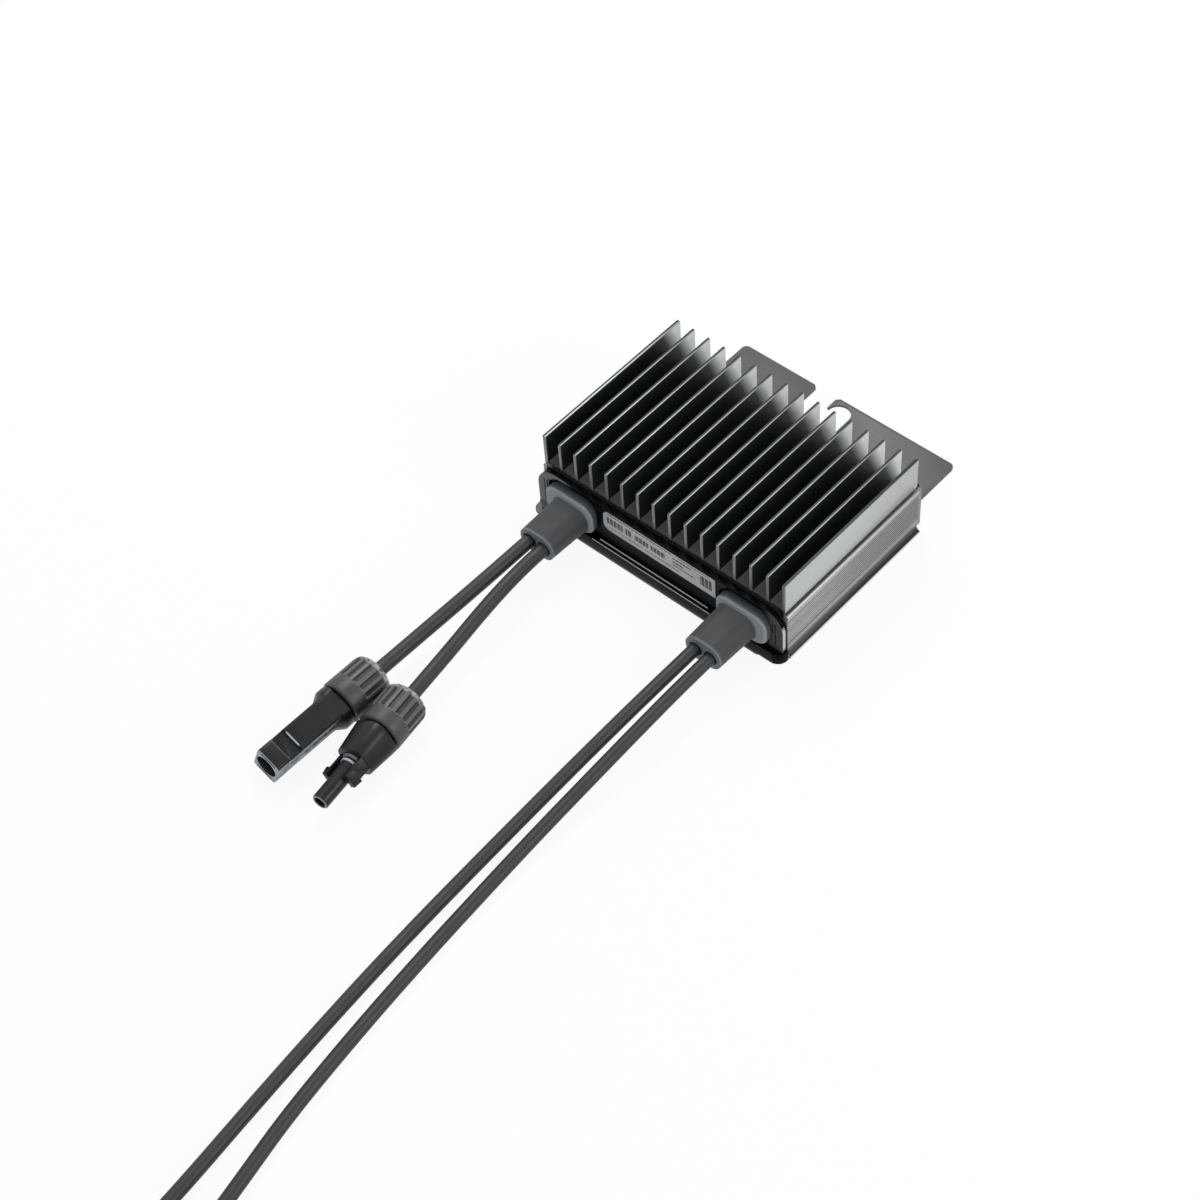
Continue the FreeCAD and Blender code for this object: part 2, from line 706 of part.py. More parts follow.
def make_front_cover():
    """The moulded front: a plate with a pocket for each boot and a lip along its foot."""
    body = new_body("front_cover")
    add_plate_and_skirt(body, cover_face, cover_inner, skirt_back=True)
    lip_sketch = new_sketch(body, "LipSketch", "XY_Plane", body_floor)
    half = cover_half_width + lip_stand_out
    lip_side = [
        (half, cover_inner), (half, lip_face + lip_corner, lip_corner, CLOCKWISE),
        (half - lip_corner, lip_face),
    ]
    draw_outline(lip_sketch, lip_side + mirrored(lip_side))
    pad(body, "Lip", lip_sketch, lip_height)

    pocket_sketch = across_y(body, "BootPocketSketch", cover_face)
    neck_sketch = across_y(body, "NeckSketch", pocket_floor)
    for _, side in boot_sides():
        middle = boot_flange_centre * side
        draw_rounded_box(pocket_sketch, middle - boot_pocket_half, middle + boot_pocket_half, lip_top,
                         boot_pocket_top, boot_pocket_corner)
        neck = sleeve_centre * side
        draw_rounded_box(neck_sketch, neck - neck_width / 2, neck + neck_width / 2,
                         sleeve_height - neck_height / 2, sleeve_height + neck_height / 2, neck_corner)
    pocket(body, "BootPockets", pocket_sketch, boot_pocket_depth)
    pocket(body, "NeckHoles", neck_sketch, cover_thickness - boot_pocket_depth)

    groove_sketch = across_y(body, "EndGrooveSketch", cover_face)
    for _, side in boot_sides():
        for inset, length in ((end_groove_inset, long_groove_length),
                              (end_groove_inset + end_groove_spacing, short_groove_length)):
            x = (cover_half_width - inset) * side
            top = cover_top - end_groove_drop
            draw_outline(groove_sketch, [
                (x - end_groove_width / 2, top), (x + end_groove_width / 2, top),
                (x + end_groove_width / 2, top - length), (x - end_groove_width / 2, top - length),
            ])
    pocket(body, "EndGrooves", groove_sketch, end_groove_depth)

    bead = body.newObject("PartDesign::AdditiveCylinder", "LipBead")
    bead.Placement.Rotation = FreeCAD.Rotation(Z_AXIS, X_AXIS)
    bind_sizes(bead, Radius=lip_bead_radius, Height=lip_bead_left + lip_bead_right)
    bead_y = lip_face + lip_bead_setback
    bind_place(bead, -lip_bead_left, bead_y, lip_top)
    for name, x in (("LipBeadLeftEnd", -lip_bead_left), ("LipBeadRightEnd", lip_bead_right)):
        ball = body.newObject("PartDesign::AdditiveSphere", name)
        bind_sizes(ball, Radius=lip_bead_radius)
        bind_place(ball, x, bead_y, lip_top)
    return body


def make_rear_cover():
    body = new_body("rear_cover")
    add_plate_and_skirt(body, rear_cover_inner + cover_thickness, rear_cover_inner, skirt_back=False,
                        margin=rear_cover_inset, corner=rear_cover_corner)
    return body


def make_gasket(name, front_y, margin=0, corner=cover_corner):
    """A flat ring between an end cover and the end of the extrusion."""
    body = new_body(name)
    sketch = across_y(body, "RingSketch", front_y + gasket_thickness)
    half = cover_plate_outline(gasket_inset + margin, corner)
    draw_outline(sketch, half + mirrored(half))
    draw_skirt(sketch, fit_clearance)
    pad(body, "Ring", sketch, gasket_thickness)
    return body


def make_base_cover():
    """A flat cover that lies on the two flanges and closes the extrusion from inside."""
    half = wall_inner - fit_clearance
    base = block("base_cover", -half, front_end + fit_clearance, flange_top, half * 2,
                 body_length - fit_clearance * 2, base_cover_thickness)
    base.Label = "base_cover"
    return base


def make_label():
    """The blank label plate between the boots, round at its left end."""
    body = new_body("label_plate")
    sketch = across_y(body, "LabelSketch", cover_face)
    top = cover_top - label_drop
    low = top - label_height
    round_end = (label_corner, CLOCKWISE)
    draw_outline(sketch, [
        (-label_left, low + label_corner), (-label_left, top - label_corner) + round_end,
        (label_corner - label_left, top), (label_right, top), (label_right, low),
        (label_corner - label_left, low) + round_end,
    ])
    pad(body, "Plate", sketch, label_thickness)
    return body


def make_boot(name, side, cable_radius):
    """A moulded rubber boot: a flange in its pocket, a tapering sleeve, and a neck gripped by the cover."""
    body = new_body(f"{name}_boot")
    middle = boot_flange_centre * side
    flange_sketch = across_y(body, "FlangeSketch", pocket_floor)
    draw_rounded_box(flange_sketch, middle - boot_flange_width / 2, middle + boot_flange_width / 2,
                     boot_flange_floor, boot_flange_floor + boot_flange_height, boot_flange_corner)
    flange = pad(body, "Flange", flange_sketch, boot_flange_thickness)
    doc.recompute()
    face_y = boot_flange_face.value
    rim = [
        f"Edge{index + 1}" for index, edge in enumerate(flange.Shape.Edges)
        if all(abs(vertex.Point.y - face_y) < 0.001 for vertex in edge.Vertexes)
    ]
    chamfer = body.newObject("PartDesign::Chamfer", "FlangeChamfer")
    chamfer.Base = (flange, rim)
    chamfer.Size = boot_flange_chamfer.value
    chamfer.setExpression("Size", boot_flange_chamfer.formula)

    sleeve = sleeve_centre * side

    def section(label, y, width, height, corner):
        sketch = across_y(body, label, y)
        draw_rounded_box(sketch, sleeve - width / 2, sleeve + width / 2,
                         sleeve_height - height / 2, sleeve_height + height / 2, corner)
        sketch.Visibility = False
        return sketch

    root = section("SleeveRootSketch", boot_flange_face, sleeve_root_width + sleeve_flare,
                   sleeve_root_depth + sleeve_flare, sleeve_corner)
    waist = section("SleeveWaistSketch", boot_flange_face - sleeve_flare, sleeve_root_width,
                    sleeve_root_depth, sleeve_corner)
    tip = section("SleeveTipSketch", sleeve_end, sleeve_tip_width, sleeve_tip_depth, sleeve_corner)
    loft = body.newObject("PartDesign::AdditiveLoft", "Sleeve")
    loft.Profile = root
    loft.Sections = [waist, tip]
    loft.Ruled = True

    neck = section("NeckSketch", pocket_floor, neck_width, neck_height, neck_corner)
    pad(body, "Neck", neck, cover_inner - pocket_floor, back=True)
    lip = section("NeckLipSketch", cover_inner, neck_width + neck_lip * 2, neck_height + neck_lip * 2,
                  neck_corner)
    pad(body, "NeckLip", lip, neck_lip_thickness, back=True)

    bore_sketch = across_y(body, "BoreSketch", sleeve_end)
    for x in lead_places(side):
        draw_circle(bore_sketch, x, sleeve_height, cable_radius)
    pocket(body, "Bores", bore_sketch)
    for name, x in zip(("Left", "Right"), lead_places(side)):
        mouth_sketch = across_y(body, f"{name}MouthSketch", sleeve_end)
        draw_circle(mouth_sketch, x, sleeve_height, cable_radius + bore_mouth_margin)
        pocket(body, f"{name}Mouth", mouth_sketch, bore_mouth_depth)
    return body


def lead_places(side):
    return [sleeve_centre * side + lead_spacing * lead / 2 for lead in (-1, 1)]


def make_lead_ends(name, side, cable_radius):
    """The two leads inside a boot: insulation up to the housing, then the bare conductor."""
    items = []
    for index, x in enumerate(lead_places(side)):
        insulated = rod(f"{name}_insulation_{index + 1}", x, sleeve_end, sleeve_height, cable_radius,
                        lead_end - sleeve_end, Y_AXIS)
        bare = rod(f"{name}_conductor_{index + 1}", x, lead_end, sleeve_height, conductor_radius, bare_lead,
                   Y_AXIS)
        items.append(join(f"{name}_lead_{index + 1}", [insulated, bare]))
    return group(f"{name}_lead_ends", items)


def make_terminals():
    """Brass terminal blocks under the board, one round each bare conductor."""
    items = []
    low = sleeve_height - terminal_width / 2
    for name, side in boot_sides():
        for index, x in enumerate(lead_places(side)):
            solid = block(f"{name}_terminal_block_{index + 1}", x - terminal_width / 2, terminal_start, low,
                          terminal_width, terminal_length, board_under - low)
            hole = rod(f"{name}_terminal_hole_{index + 1}", x, terminal_start - cutter_overrun,
                       sleeve_height, conductor_radius + conductor_clearance, terminal_length, Y_AXIS)
            items.append(cut(f"{name}_terminal_{index + 1}", solid, hole))
    return group("lead_terminals", items)


def make_board():
    half = wall_inner - fit_clearance
    board = block("circuit_board", -half, board_front, board_under, half * 2, board_rear - board_front,
                  board_thickness)
    board.Label = "circuit_board"
    return board


def transistor_row():
    """The left edges of the transistors, evenly spaced about the middle."""
    first = -(transistor_pitch * (transistor_count - 1) + transistor_width) / 2
    return [first + transistor_pitch * index for index in range(transistor_count)]


def make_transistors():
    """A row of power transistors on the board, each a moulded body with a metal tab behind it."""
    items = []
    y = board_front + transistor_setback
    for index, x in enumerate(transistor_row()):
        case = block(f"transistor_case_{index + 1}", x, y, board_top, transistor_width, transistor_depth,
                     transistor_height)
        tab = block(f"transistor_tab_{index + 1}", x, y + transistor_depth, thermal_pad_floor - tab_thickness,
                    transistor_width, tab_length, tab_thickness)
        items.append(join(f"transistor_{index + 1}", [case, tab]))
    return group("power_transistors", items)


def make_thermal_pad():
    """A soft pad that carries the transistors' heat to the plate."""
    margin = thermal_pad_margin
    left = transistor_row()[0] - margin
    pad_item = block("thermal_pad", left, board_front + transistor_setback - margin, thermal_pad_floor,
                     -left * 2, transistor_depth + tab_length + margin * 2, thermal_pad_thickness)
    pad_item.Label = "thermal_pad"
    return pad_item


def make_inductor():
    """A ferrite core with two windows, and the copper winding round its middle leg."""
    low = board_under - core_height
    left = core_x - core_width / 2
    window_width = (core_width - core_centre_leg) / 2 - core_leg
    window_height = core_height - core_yoke * 2
    solid = block("core_block", left, core_y - core_depth / 2, low, core_width, core_depth, core_height)
    windows = [
        block(f"core_window_{index + 1}", x, core_y - core_depth / 2, low + core_yoke, window_width,
              core_depth, window_height)
        for index, x in enumerate((left + core_leg, core_x + core_centre_leg / 2))
    ]
    core = cut("inductor_core", solid, join("core_windows", windows))
    across = core_centre_leg + winding_clearance * 2
    along = core_depth + winding_clearance * 2
    height = window_height - winding_clearance
    ring = block("winding_block", core_x - across / 2 - winding_build, core_y - along / 2 - winding_build,
                 low + core_yoke, across + winding_build * 2, along + winding_build * 2, height)
    hole = block("winding_hole", core_x - across / 2, core_y - along / 2, low + core_yoke, across, along,
                 height)
    return [core, cut("inductor_winding", ring, hole)]


def make_capacitors():
    """A row of round capacitors along the rear of the board and one boxed film capacitor."""
    y = capacitor_y
    low = board_under - capacitor_height
    first = last_capacitor_x - capacitor_pitch * (capacitor_count - 1)
    cans = [
        rod(f"capacitor_{index + 1}", first + capacitor_pitch * index, y, low, capacitor_radius,
            capacitor_height)
        for index in range(capacitor_count)
    ]
    body = new_body("film_capacitor")
    sketch = new_sketch(body, "CaseSketch", "XY_Plane", board_under - film_height)
    draw_rounded_box(sketch, film_x - film_width / 2, film_x + film_width / 2, y - film_depth / 2,
                     y + film_depth / 2, film_round)
    pad(body, "Case", sketch, film_height)
    return [group("filter_capacitors", cans), body]


def make_chip():
    chip = block("control_chip", -chip_x - chip_side, core_y - chip_side / 2,
                 board_under - chip_thickness, chip_side, chip_side, chip_thickness)
    chip.Label = "control_chip"
    return chip


def make_potting(inner_pieces):
    """The potting under the board, cast round everything that hangs there."""
    half = rail_edge - fit_clearance
    solid = block("potting_cast", -half, board_front, base_cover_top, half * 2, board_rear - board_front,
                  board_under - base_cover_top)
    fill = [
        rod(f"terminal_fill_{name}_{index + 1}", x, terminal_start, sleeve_height,
            conductor_radius + conductor_clearance, terminal_length, Y_AXIS)
        for name, side in boot_sides() for index, x in enumerate(lead_places(side))
    ]
    return cut("potting_block", solid, join("potting_hollow", inner_pieces + fill))


def nut_cavity_radius():
    return tail_radius + thread_clearance


def make_nut(name, cable_radius):
    """The fluted gland nut that squeezes the grommet on the cable."""
    body = new_body(f"{name}_gland_nut")
    hole = cable_radius + cable_clearance
    cavity = nut_cavity_radius()
    revolve(body, "Shell", [
        (as_size(0), hole), (nut_wall, hole), (nut_wall, cavity), (nut_length, cavity),
        (nut_length, nut_radius - nut_front_chamfer), (nut_length - nut_front_chamfer, nut_radius),
        (nut_back_length, nut_radius), (nut_shoulder_length, nut_shoulder_radius),
        (as_size(0), nut_back_radius),
    ])
    flute_sketch = new_sketch(body, "FluteSketch", "XY_Plane", nut_radius + cutter_overrun)
    half = flute_width / 2
    draw_outline(flute_sketch, [
        (as_size(0), -half), (flute_length, -half), (flute_length, half), (as_size(0), half),
    ])
    flute = pocket(body, "Flute", flute_sketch, flute_depth + cutter_overrun)
    flutes = body.newObject("PartDesign::PolarPattern", "Flutes")
    flutes.Originals = [flute]
    flutes.Axis = (plane_of(body, "X_Axis"), [""])
    flutes.Angle = 360.0
    flutes.Occurrences = flute_count
    body.Tip = flutes
    return body


def make_grommet(name, cable_radius):
    """The rubber ring between the cable, the nut and the housing's tail."""
    body = new_body(f"{name}_grommet")
    outer = tail_bore_radius - grommet_clearance
    revolve(body, "Ring", [
        (nut_wall, cable_radius), (nut_wall + grommet_length, cable_radius),
        (nut_wall + grommet_length, outer), (nut_wall, outer),
    ])
    return body


def tail_corners(front_radius):
    """The hollow threaded tail that every housing has, up to the front of its partition."""
    hole = pin_radius + contact_clearance
    return [
        (back_bore_end, hole), (back_bore_end, tail_bore_radius), (tail_start, tail_bore_radius),
        (tail_start, tail_radius), (tail_end, tail_radius), (tail_end, front_radius),
    ]


def draw_square_at(body, name, x, width, height, corner):
    """A round-cornered section square to the connector's axis at x."""
    sketch = new_sketch(body, name, "YZ_Plane", x)
    draw_rounded_box(sketch, -width / 2, width / 2, -height / 2, height / 2, corner)
    sketch.Visibility = False
    return sketch


def make_socket_housing(name):
    """The housing with the flat-topped latch arm, its two notches, and the cavity that takes the other's tube."""
    body = new_body(f"{name}_housing")
    partition_end = back_bore_end + partition_length
    taper_start = tail_end + socket_shoulder_length
    taper_end = taper_start + socket_taper_length
    half_height = arm_height / 2
    revolve(body, "Tail", tail_corners(socket_shoulder_radius) + [
        (taper_start, socket_shoulder_radius), (taper_end, arm_width / 2), (partition_end, arm_width / 2),
        (partition_end, pin_radius + contact_clearance),
    ])
    flats = across_y(body, "FlatSketch", -(socket_shoulder_radius + cutter_overrun))
    for low, high in ((half_height, socket_shoulder_radius + cutter_overrun),
                      (-(socket_shoulder_radius + cutter_overrun), -half_height)):
        draw_outline(flats, [(tail_end, low), (taper_end, low), (taper_end, high), (tail_end, high)])
    pocket(body, "ShoulderFlats", flats)
    arm = draw_square_at(body, "ArmSketch", tail_end, arm_width, arm_height, arm_corner)
    pad(body, "Arm", arm, arm_end - tail_end)
    rail = new_sketch(body, "RailSketch", "YZ_Plane", taper_start)
    edge = arm_width / 2 + arm_rail_stand_out
    draw_rounded_box(rail, -edge, edge, -arm_rail_width / 2, arm_rail_width / 2, arm_rail_stand_out)
    pad(body, "Rail", rail, arm_end - taper_start - arm_rail_width)

    cavity = new_sketch(body, "CavitySketch", "YZ_Plane", arm_end)
    draw_circle(cavity, 0, 0, arm_width / 2 - arm_rim)
    pocket(body, "Cavity", cavity, arm_cavity_depth)
    slots = new_sketch(body, "SlotSketch", "YZ_Plane", arm_end)
    slot_top = half_height - arm_slot_wall
    for low in (slot_top - arm_slot_height, -slot_top):
        draw_outline(slots, [
            (-arm_slot_width / 2, low), (arm_slot_width / 2, low),
            (arm_slot_width / 2, low + arm_slot_height), (-arm_slot_width / 2, low + arm_slot_height),
        ])
    pocket(body, "Slots", slots, arm_slot_depth)
    tube_bore = new_sketch(body, "TubeBoreSketch", "YZ_Plane", arm_end)
    draw_circle(tube_bore, 0, 0, plug_tube_radius + tube_clearance)
    pocket(body, "TubeBore", tube_bore, arm_end - partition_end)
    pin_hole = new_sketch(body, "PinHoleSketch", "YZ_Plane", partition_end)
    draw_circle(pin_hole, 0, 0, pin_radius + contact_clearance)
    pocket(body, "PinHole", pin_hole, partition_length)
    back_bore = new_sketch(body, "BackBoreSketch", "YZ_Plane", back_bore_end)
    draw_circle(back_bore, 0, 0, tail_bore_radius)
    pocket(body, "BackBore", back_bore, back_bore_end - tail_start)
    windows = across_y(body, "WindowSketch", -arm_width)
    window_end = arm_end - window_from_end
    for low, high in ((half_height - window_depth, arm_height), (-arm_height, window_depth - half_height)):
        draw_outline(windows, [
            (window_end - window_length, low), (window_end, low), (window_end, high),
            (window_end - window_length, high),
        ])
    pocket(body, "Windows", windows)
    return body


def make_pin_contact(name):
    """The metal pin: crimp barrel on the conductor, collar against the partition, pin in the cavity."""
    body = new_body(f"{name}_contact")
    tip = back_bore_end + partition_length + pin_free_length
    revolve(body, "Pin", [
        (cable_seat, as_size(0)), (tip, as_size(0)), (tip, pin_radius - pin_nose_step),
        (tip - pin_nose_length, pin_radius),
        (back_bore_end, pin_radius), (back_bore_end, collar_radius),
        (back_bore_end - collar_thickness, collar_radius),
        (back_bore_end - collar_thickness, barrel_radius), (cable_seat, barrel_radius),
    ])
    return body


def make_plug_housing(name):
    """The housing with the round tube and two latch prongs."""
    body = new_body(f"{name}_housing")
    shoulder_radius = tail_radius + plug_shoulder_step
    revolve(body, "Tail", tail_corners(shoulder_radius) + [
        (tail_end + nut_gap, shoulder_radius), (tail_end + nut_gap, pin_radius + contact_clearance),
    ])
    root = draw_square_at(body, "BodySketch", tail_end, plug_root_width, plug_root_height, plug_body_corner)
    front = pad(body, "FrontBody", root, plug_body_length)
    front.TaperAngle = -plug_body_taper
    tube = new_sketch(body, "TubeSketch", "YZ_Plane", plug_face)
    draw_circle(tube, 0, 0, plug_tube_radius)
    pad(body, "Tube", tube, plug_length - plug_face)

    prongs = new_sketch(body, "ProngSketch", "XY_Plane", -prong_height / 2)
    inner = prong_offset - prong_thickness / 2
    outer = prong_offset + prong_thickness / 2
    prong_end = plug_face + prong_length
    prong = [
        (plug_face, inner), (prong_end, inner), (prong_end, outer + barb_tip_height),
        (prong_end - barb_length, outer + barb_height),
        (prong_end - barb_length, outer), (plug_face, outer),
    ]
    draw_outline(prongs, prong)
    draw_outline(prongs, [(x, -y) for x, y in reversed(prong)])
    pad(body, "Prongs", prongs, prong_height)

    mouth = new_sketch(body, "MouthSketch", "YZ_Plane", plug_length)
    draw_circle(mouth, 0, 0, plug_tube_bore)
    pocket(body, "Mouth", mouth, plug_mouth_length)
    bore_end = plug_length - plug_mouth_length
    bore = new_sketch(body, "BoreSketch", "YZ_Plane", bore_end)
    draw_circle(bore, 0, 0, contact_bore)
    pocket(body, "Bore", bore, bore_end - back_bore_end)
    back_bore = new_sketch(body, "BackBoreSketch", "YZ_Plane", back_bore_end)
    draw_circle(back_bore, 0, 0, tail_bore_radius)
    pocket(body, "BackBore", back_bore, back_bore_end - tail_start)
    return body


def make_sleeve_contact(name):
    """The metal sleeve that takes the other connector's pin, recessed in the tube."""
    body = new_body(f"{name}_contact")
    tip = plug_length - plug_mouth_length - sleeve_contact_gap
    outer = contact_bore - contact_clearance
    bore_floor = back_bore_end + sleeve_contact_floor
    revolve(body, "Sleeve", [
        (cable_seat, as_size(0)), (bore_floor, as_size(0)), (bore_floor, pin_radius), (tip, pin_radius),
        (tip, outer), (back_bore_end, outer), (back_bore_end, collar_radius),
        (back_bore_end - collar_thickness, collar_radius), (back_bore_end - collar_thickness, barrel_radius),
        (cable_seat, barrel_radius),
    ])
    return body


def make_seal(name):
    """The sealing ring at the root of the plug's tube."""
    body = new_body(f"{name}_seal")
    rear = plug_face
    front = plug_face + seal_thickness
    outer = plug_tube_radius + seal_thickness
    revolve(body, "Ring", [
        (rear, plug_tube_radius), (front, plug_tube_radius), (front, outer - seal_chamfer),
        (front - seal_chamfer, outer), (rear + seal_chamfer, outer), (rear, outer - seal_chamfer),
    ])
    return body


def place(item, x, y, heading, roll):
    """Lay a connector's piece with the nut on Z = 0 and its back at (x, y), turned and rolled on its axis."""
    turn = FreeCAD.Rotation(Z_AXIS, heading) * FreeCAD.Rotation(X_AXIS, roll)
    item.Placement = FreeCAD.Placement(FreeCAD.Vector(x, y, 0), turn)
    item.setExpression("Placement.Base.z", nut_radius.formula)
    return item


def make_connector(name, kind, cable_radius, x, y, heading, roll=0):
    """A whole connector: gland nut, grommet, housing, contact and, on a plug, its seal."""
    pieces = [make_nut(name, cable_radius), make_grommet(name, cable_radius)]
    if kind == "socket":
        pieces += [make_socket_housing(name), make_pin_contact(name)]
    else:
        pieces += [make_plug_housing(name), make_sleeve_contact(name), make_seal(name)]
    return [place(piece, x, y, heading, roll) for piece in pieces]


def cord_path(route):
    """Straight runs joined by tangent arcs, each as large as its two runs allow, and the arcs' radii."""
    edges = []
    radii = []
    start = route[0]
    for before, corner, after in zip(route, route[1:], route[2:]):
        back = before - corner
        onward = after - corner
        turn = math.pi - back.getAngle(onward)
        reach = 0.45 * min(back.Length, onward.Length)
        radius = reach / math.tan(turn / 2)
        radii.append(radius)
        first = corner + back / back.Length * reach
        last = corner + onward / onward.Length * reach
        bisector = (back / back.Length + onward / onward.Length).normalize()
        middle = corner + bisector * (radius / math.cos(turn / 2) - radius)
        edges.append(Part.LineSegment(start, first).toShape())
        edges.append(Part.Arc(first, middle, last).toShape())
        start = last
    edges.append(Part.LineSegment(start, route[-1]).toShape())
    return Part.Wire(edges), radii


def make_cord(name, route, radius):
    """A free cable's plain tube along its route."""
    route = [FreeCAD.Vector(*point) for point in route]
    if len(route) == 2:
        length = (route[1] - route[0]).Length
        shape = Part.makeCylinder(radius.value, length, route[0], route[1] - route[0])
        radii = []
    else:
        path, radii = cord_path(route)
        length = path.Length
        circle = Part.Wire(Part.Circle(route[0], route[1] - route[0], radius.value).toShape())
        shape = Part.Wire(path).makePipeShell([circle], True, True)
    item = doc.addObject("Part::Feature", name)
    item.Shape = shape
    item.Label = name
    section = math.pi * radius.value ** 2 * length
    print(f"{name}: {length:.1f} long, volume {shape.Volume / section:.4f} of its section times its length,",
          "radii", " ".join(f"{r:.0f}" for r in radii))
    return item


def make_coil(name, centre, turn_radius):
    """The outer shape of a neat coil, two turns wide and two high, round about centre."""
    outer = rod(f"{name}_outside", *centre, 0, turn_radius + output_cable_radius * 2, output_cable_radius * 4)
    inner = rod(f"{name}_inside", *centre, 0, turn_radius - output_cable_radius * 2, output_cable_radius * 4)
    return cut(name, outer, inner)


# The leads' places. A connector's place is the back of its nut, its heading and its roll in degrees.
input_left_connector = (-51.48, -157.8, -90.9, -21.8)
input_right_connector = (-32.94, -158.6, -81.9, 30.0)
exit_z = sleeve_height.value
axis_z = nut_radius.value
floor_z = (output_cable_radius + floor_clearance).value


class Coil:
    """A neat coil on the floor, two turns wide and two high, which its lead leaves along a tangent."""

    def __init__(self, name, centre, turn_radius, exit_degrees, turn):
        self.centre = centre
        self.turn_radius = size(f"{name}_coil_turn_radius", turn_radius)
        angle = math.radians(exit_degrees)
        outer_turn = self.turn_radius.value + output_cable_radius.value
        self.leaves = (centre[0] + math.cos(angle) * outer_turn, centre[1] + math.sin(angle) * outer_turn)
        self.heading = exit_degrees + 90 * turn
        outside = outer_turn + output_cable_radius.value
        self.clear = math.sqrt(outside ** 2 - self.turn_radius.value ** 2) + coil_clearance.value

    def connector(self):
        """The connector's place, past the coil on the tangent."""
        angle = math.radians(self.heading)
        x, y = self.leaves
        reach = tail_length.value
        return (x + math.cos(angle) * reach, y + math.sin(angle) * reach, self.heading)


coils = {
    "left": Coil("left", (19.25, -441.9), 29.0, 270, CLOCKWISE),
    "right": Coil("right", (102.4, -383.2), 33.4, 180, COUNTERCLOCKWISE),
}


def along_axis(connector, distance):
    """A point on a connector's axis."""
    x, y, heading = connector[:3]
    angle = math.radians(heading)
    return (x + math.cos(angle) * distance, y + math.sin(angle) * distance, axis_z)


def lead_route(side, lead, straight, points, connector=None):
    """A lead's route: straight out of its boot, through its points and, with a connector, into the nut."""
    x = lead_places(side)[lead].value
    start = [(x, sleeve_end.value, exit_z), (x, (sleeve_end - straight).value, exit_z)]
    ends = [along_axis(connector, -8), along_axis(connector, cable_seat.value)] if connector else []
    return start + points + ends


sheet.recompute()
heat_sink = make_heat_sink()
parts = [heat_sink, make_bracket(), make_rivets(), make_front_cover(), make_rear_cover(), make_base_cover(),
         make_gasket("front_gasket", cover_inner),
         make_gasket("rear_gasket", back_end, rear_cover_inset, rear_cover_corner), make_label()]
boots = [make_boot("left", -1, input_cable_radius), make_boot("right", 1, output_cable_radius)]
lead_ends = [make_lead_ends("left", -1, input_cable_radius), make_lead_ends("right", 1, output_cable_radius)]
under_board = [make_terminals(), *make_inductor(), *make_capacitors(), make_chip()]
parts += boots + lead_ends + under_board
parts += [make_board(), make_transistors(), make_thermal_pad(), make_potting(lead_ends + under_board)]

parts += make_connector("input_socket", "socket", input_cable_radius, *input_left_connector)
parts += make_connector("input_plug", "plug", input_cable_radius, *input_right_connector)
parts += make_connector("output_plug", "plug", output_cable_radius, *coils["left"].connector())
parts += make_connector("output_socket", "socket", output_cable_radius, *coils["right"].connector())

routes = {
    "input_cable_left": (input_cable_radius, lead_route(-1, 0, input_lead_straight, [
        (-48.4, -110, 13.0), (-50.4, -131, 10.5)], input_left_connector)),
    "input_cable_right": (input_cable_radius, lead_route(-1, 1, input_lead_straight, [
        (-38.3, -110, 13.1), (-36.3, -131, 10.5)], input_right_connector)),
    "output_cable_left": (output_cable_radius, lead_route(1, 0, output_lead_straight, [
        (38.9, -115, 12.9), (37.3, -144, 8.6), (36.3, -172, 5.0), (36.2, -202, floor_z),
        (37.6, -236, floor_z), (40.2, -274, floor_z), (44.0, -316, floor_z), (48.6, -360, floor_z),
        (50.6, -396, floor_z), (51.0, -422.6, floor_z)])),
    "output_cable_right": (output_cable_radius, lead_route(1, 1, output_lead_straight, [
        (46.9, -115, 12.9), (45.9, -144, 8.6), (45.3, -172, 5.0), (46.0, -202, floor_z),
        (48.2, -236, floor_z), (51.6, -274, floor_z), (56.2, -312, floor_z), (61.8, -340, floor_z),
        (66.0, -362.8, floor_z)])),
}
for name, coil in coils.items():
    tail_ends = (coil.clear - tail_length.value, cable_seat.value)
    tail = [along_axis(coil.connector(), distance) for distance in tail_ends]
    routes[f"output_tail_{name}"] = (output_cable_radius, tail)
    parts.append(make_coil(f"output_coil_{name}", coil.centre, coil.turn_radius))
parts += [make_cord(name, route, radius) for name, (radius, route) in routes.items()]

doc.recompute()
failed = [item.Name for item in doc.Objects if "Invalid" in item.State or "Error" in item.State]
if failed:
    raise RuntimeError(f"failed objects: {failed}")
for item in parts:
    if item.Shape.isNull() or not item.Shape.isValid():
        raise RuntimeError(f"{item.Label} has no valid shape")

os.makedirs("parts", exist_ok=True)
for item in parts:
    item.Shape.exportStep(f"parts/{item.Label}.step")
print(f"{len(parts)} sub-parts written")
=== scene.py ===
import math

import bmesh
import bpy
from bpy.props import FloatProperty, FloatVectorProperty, PointerProperty
from mathutils import Euler, Matrix, Vector


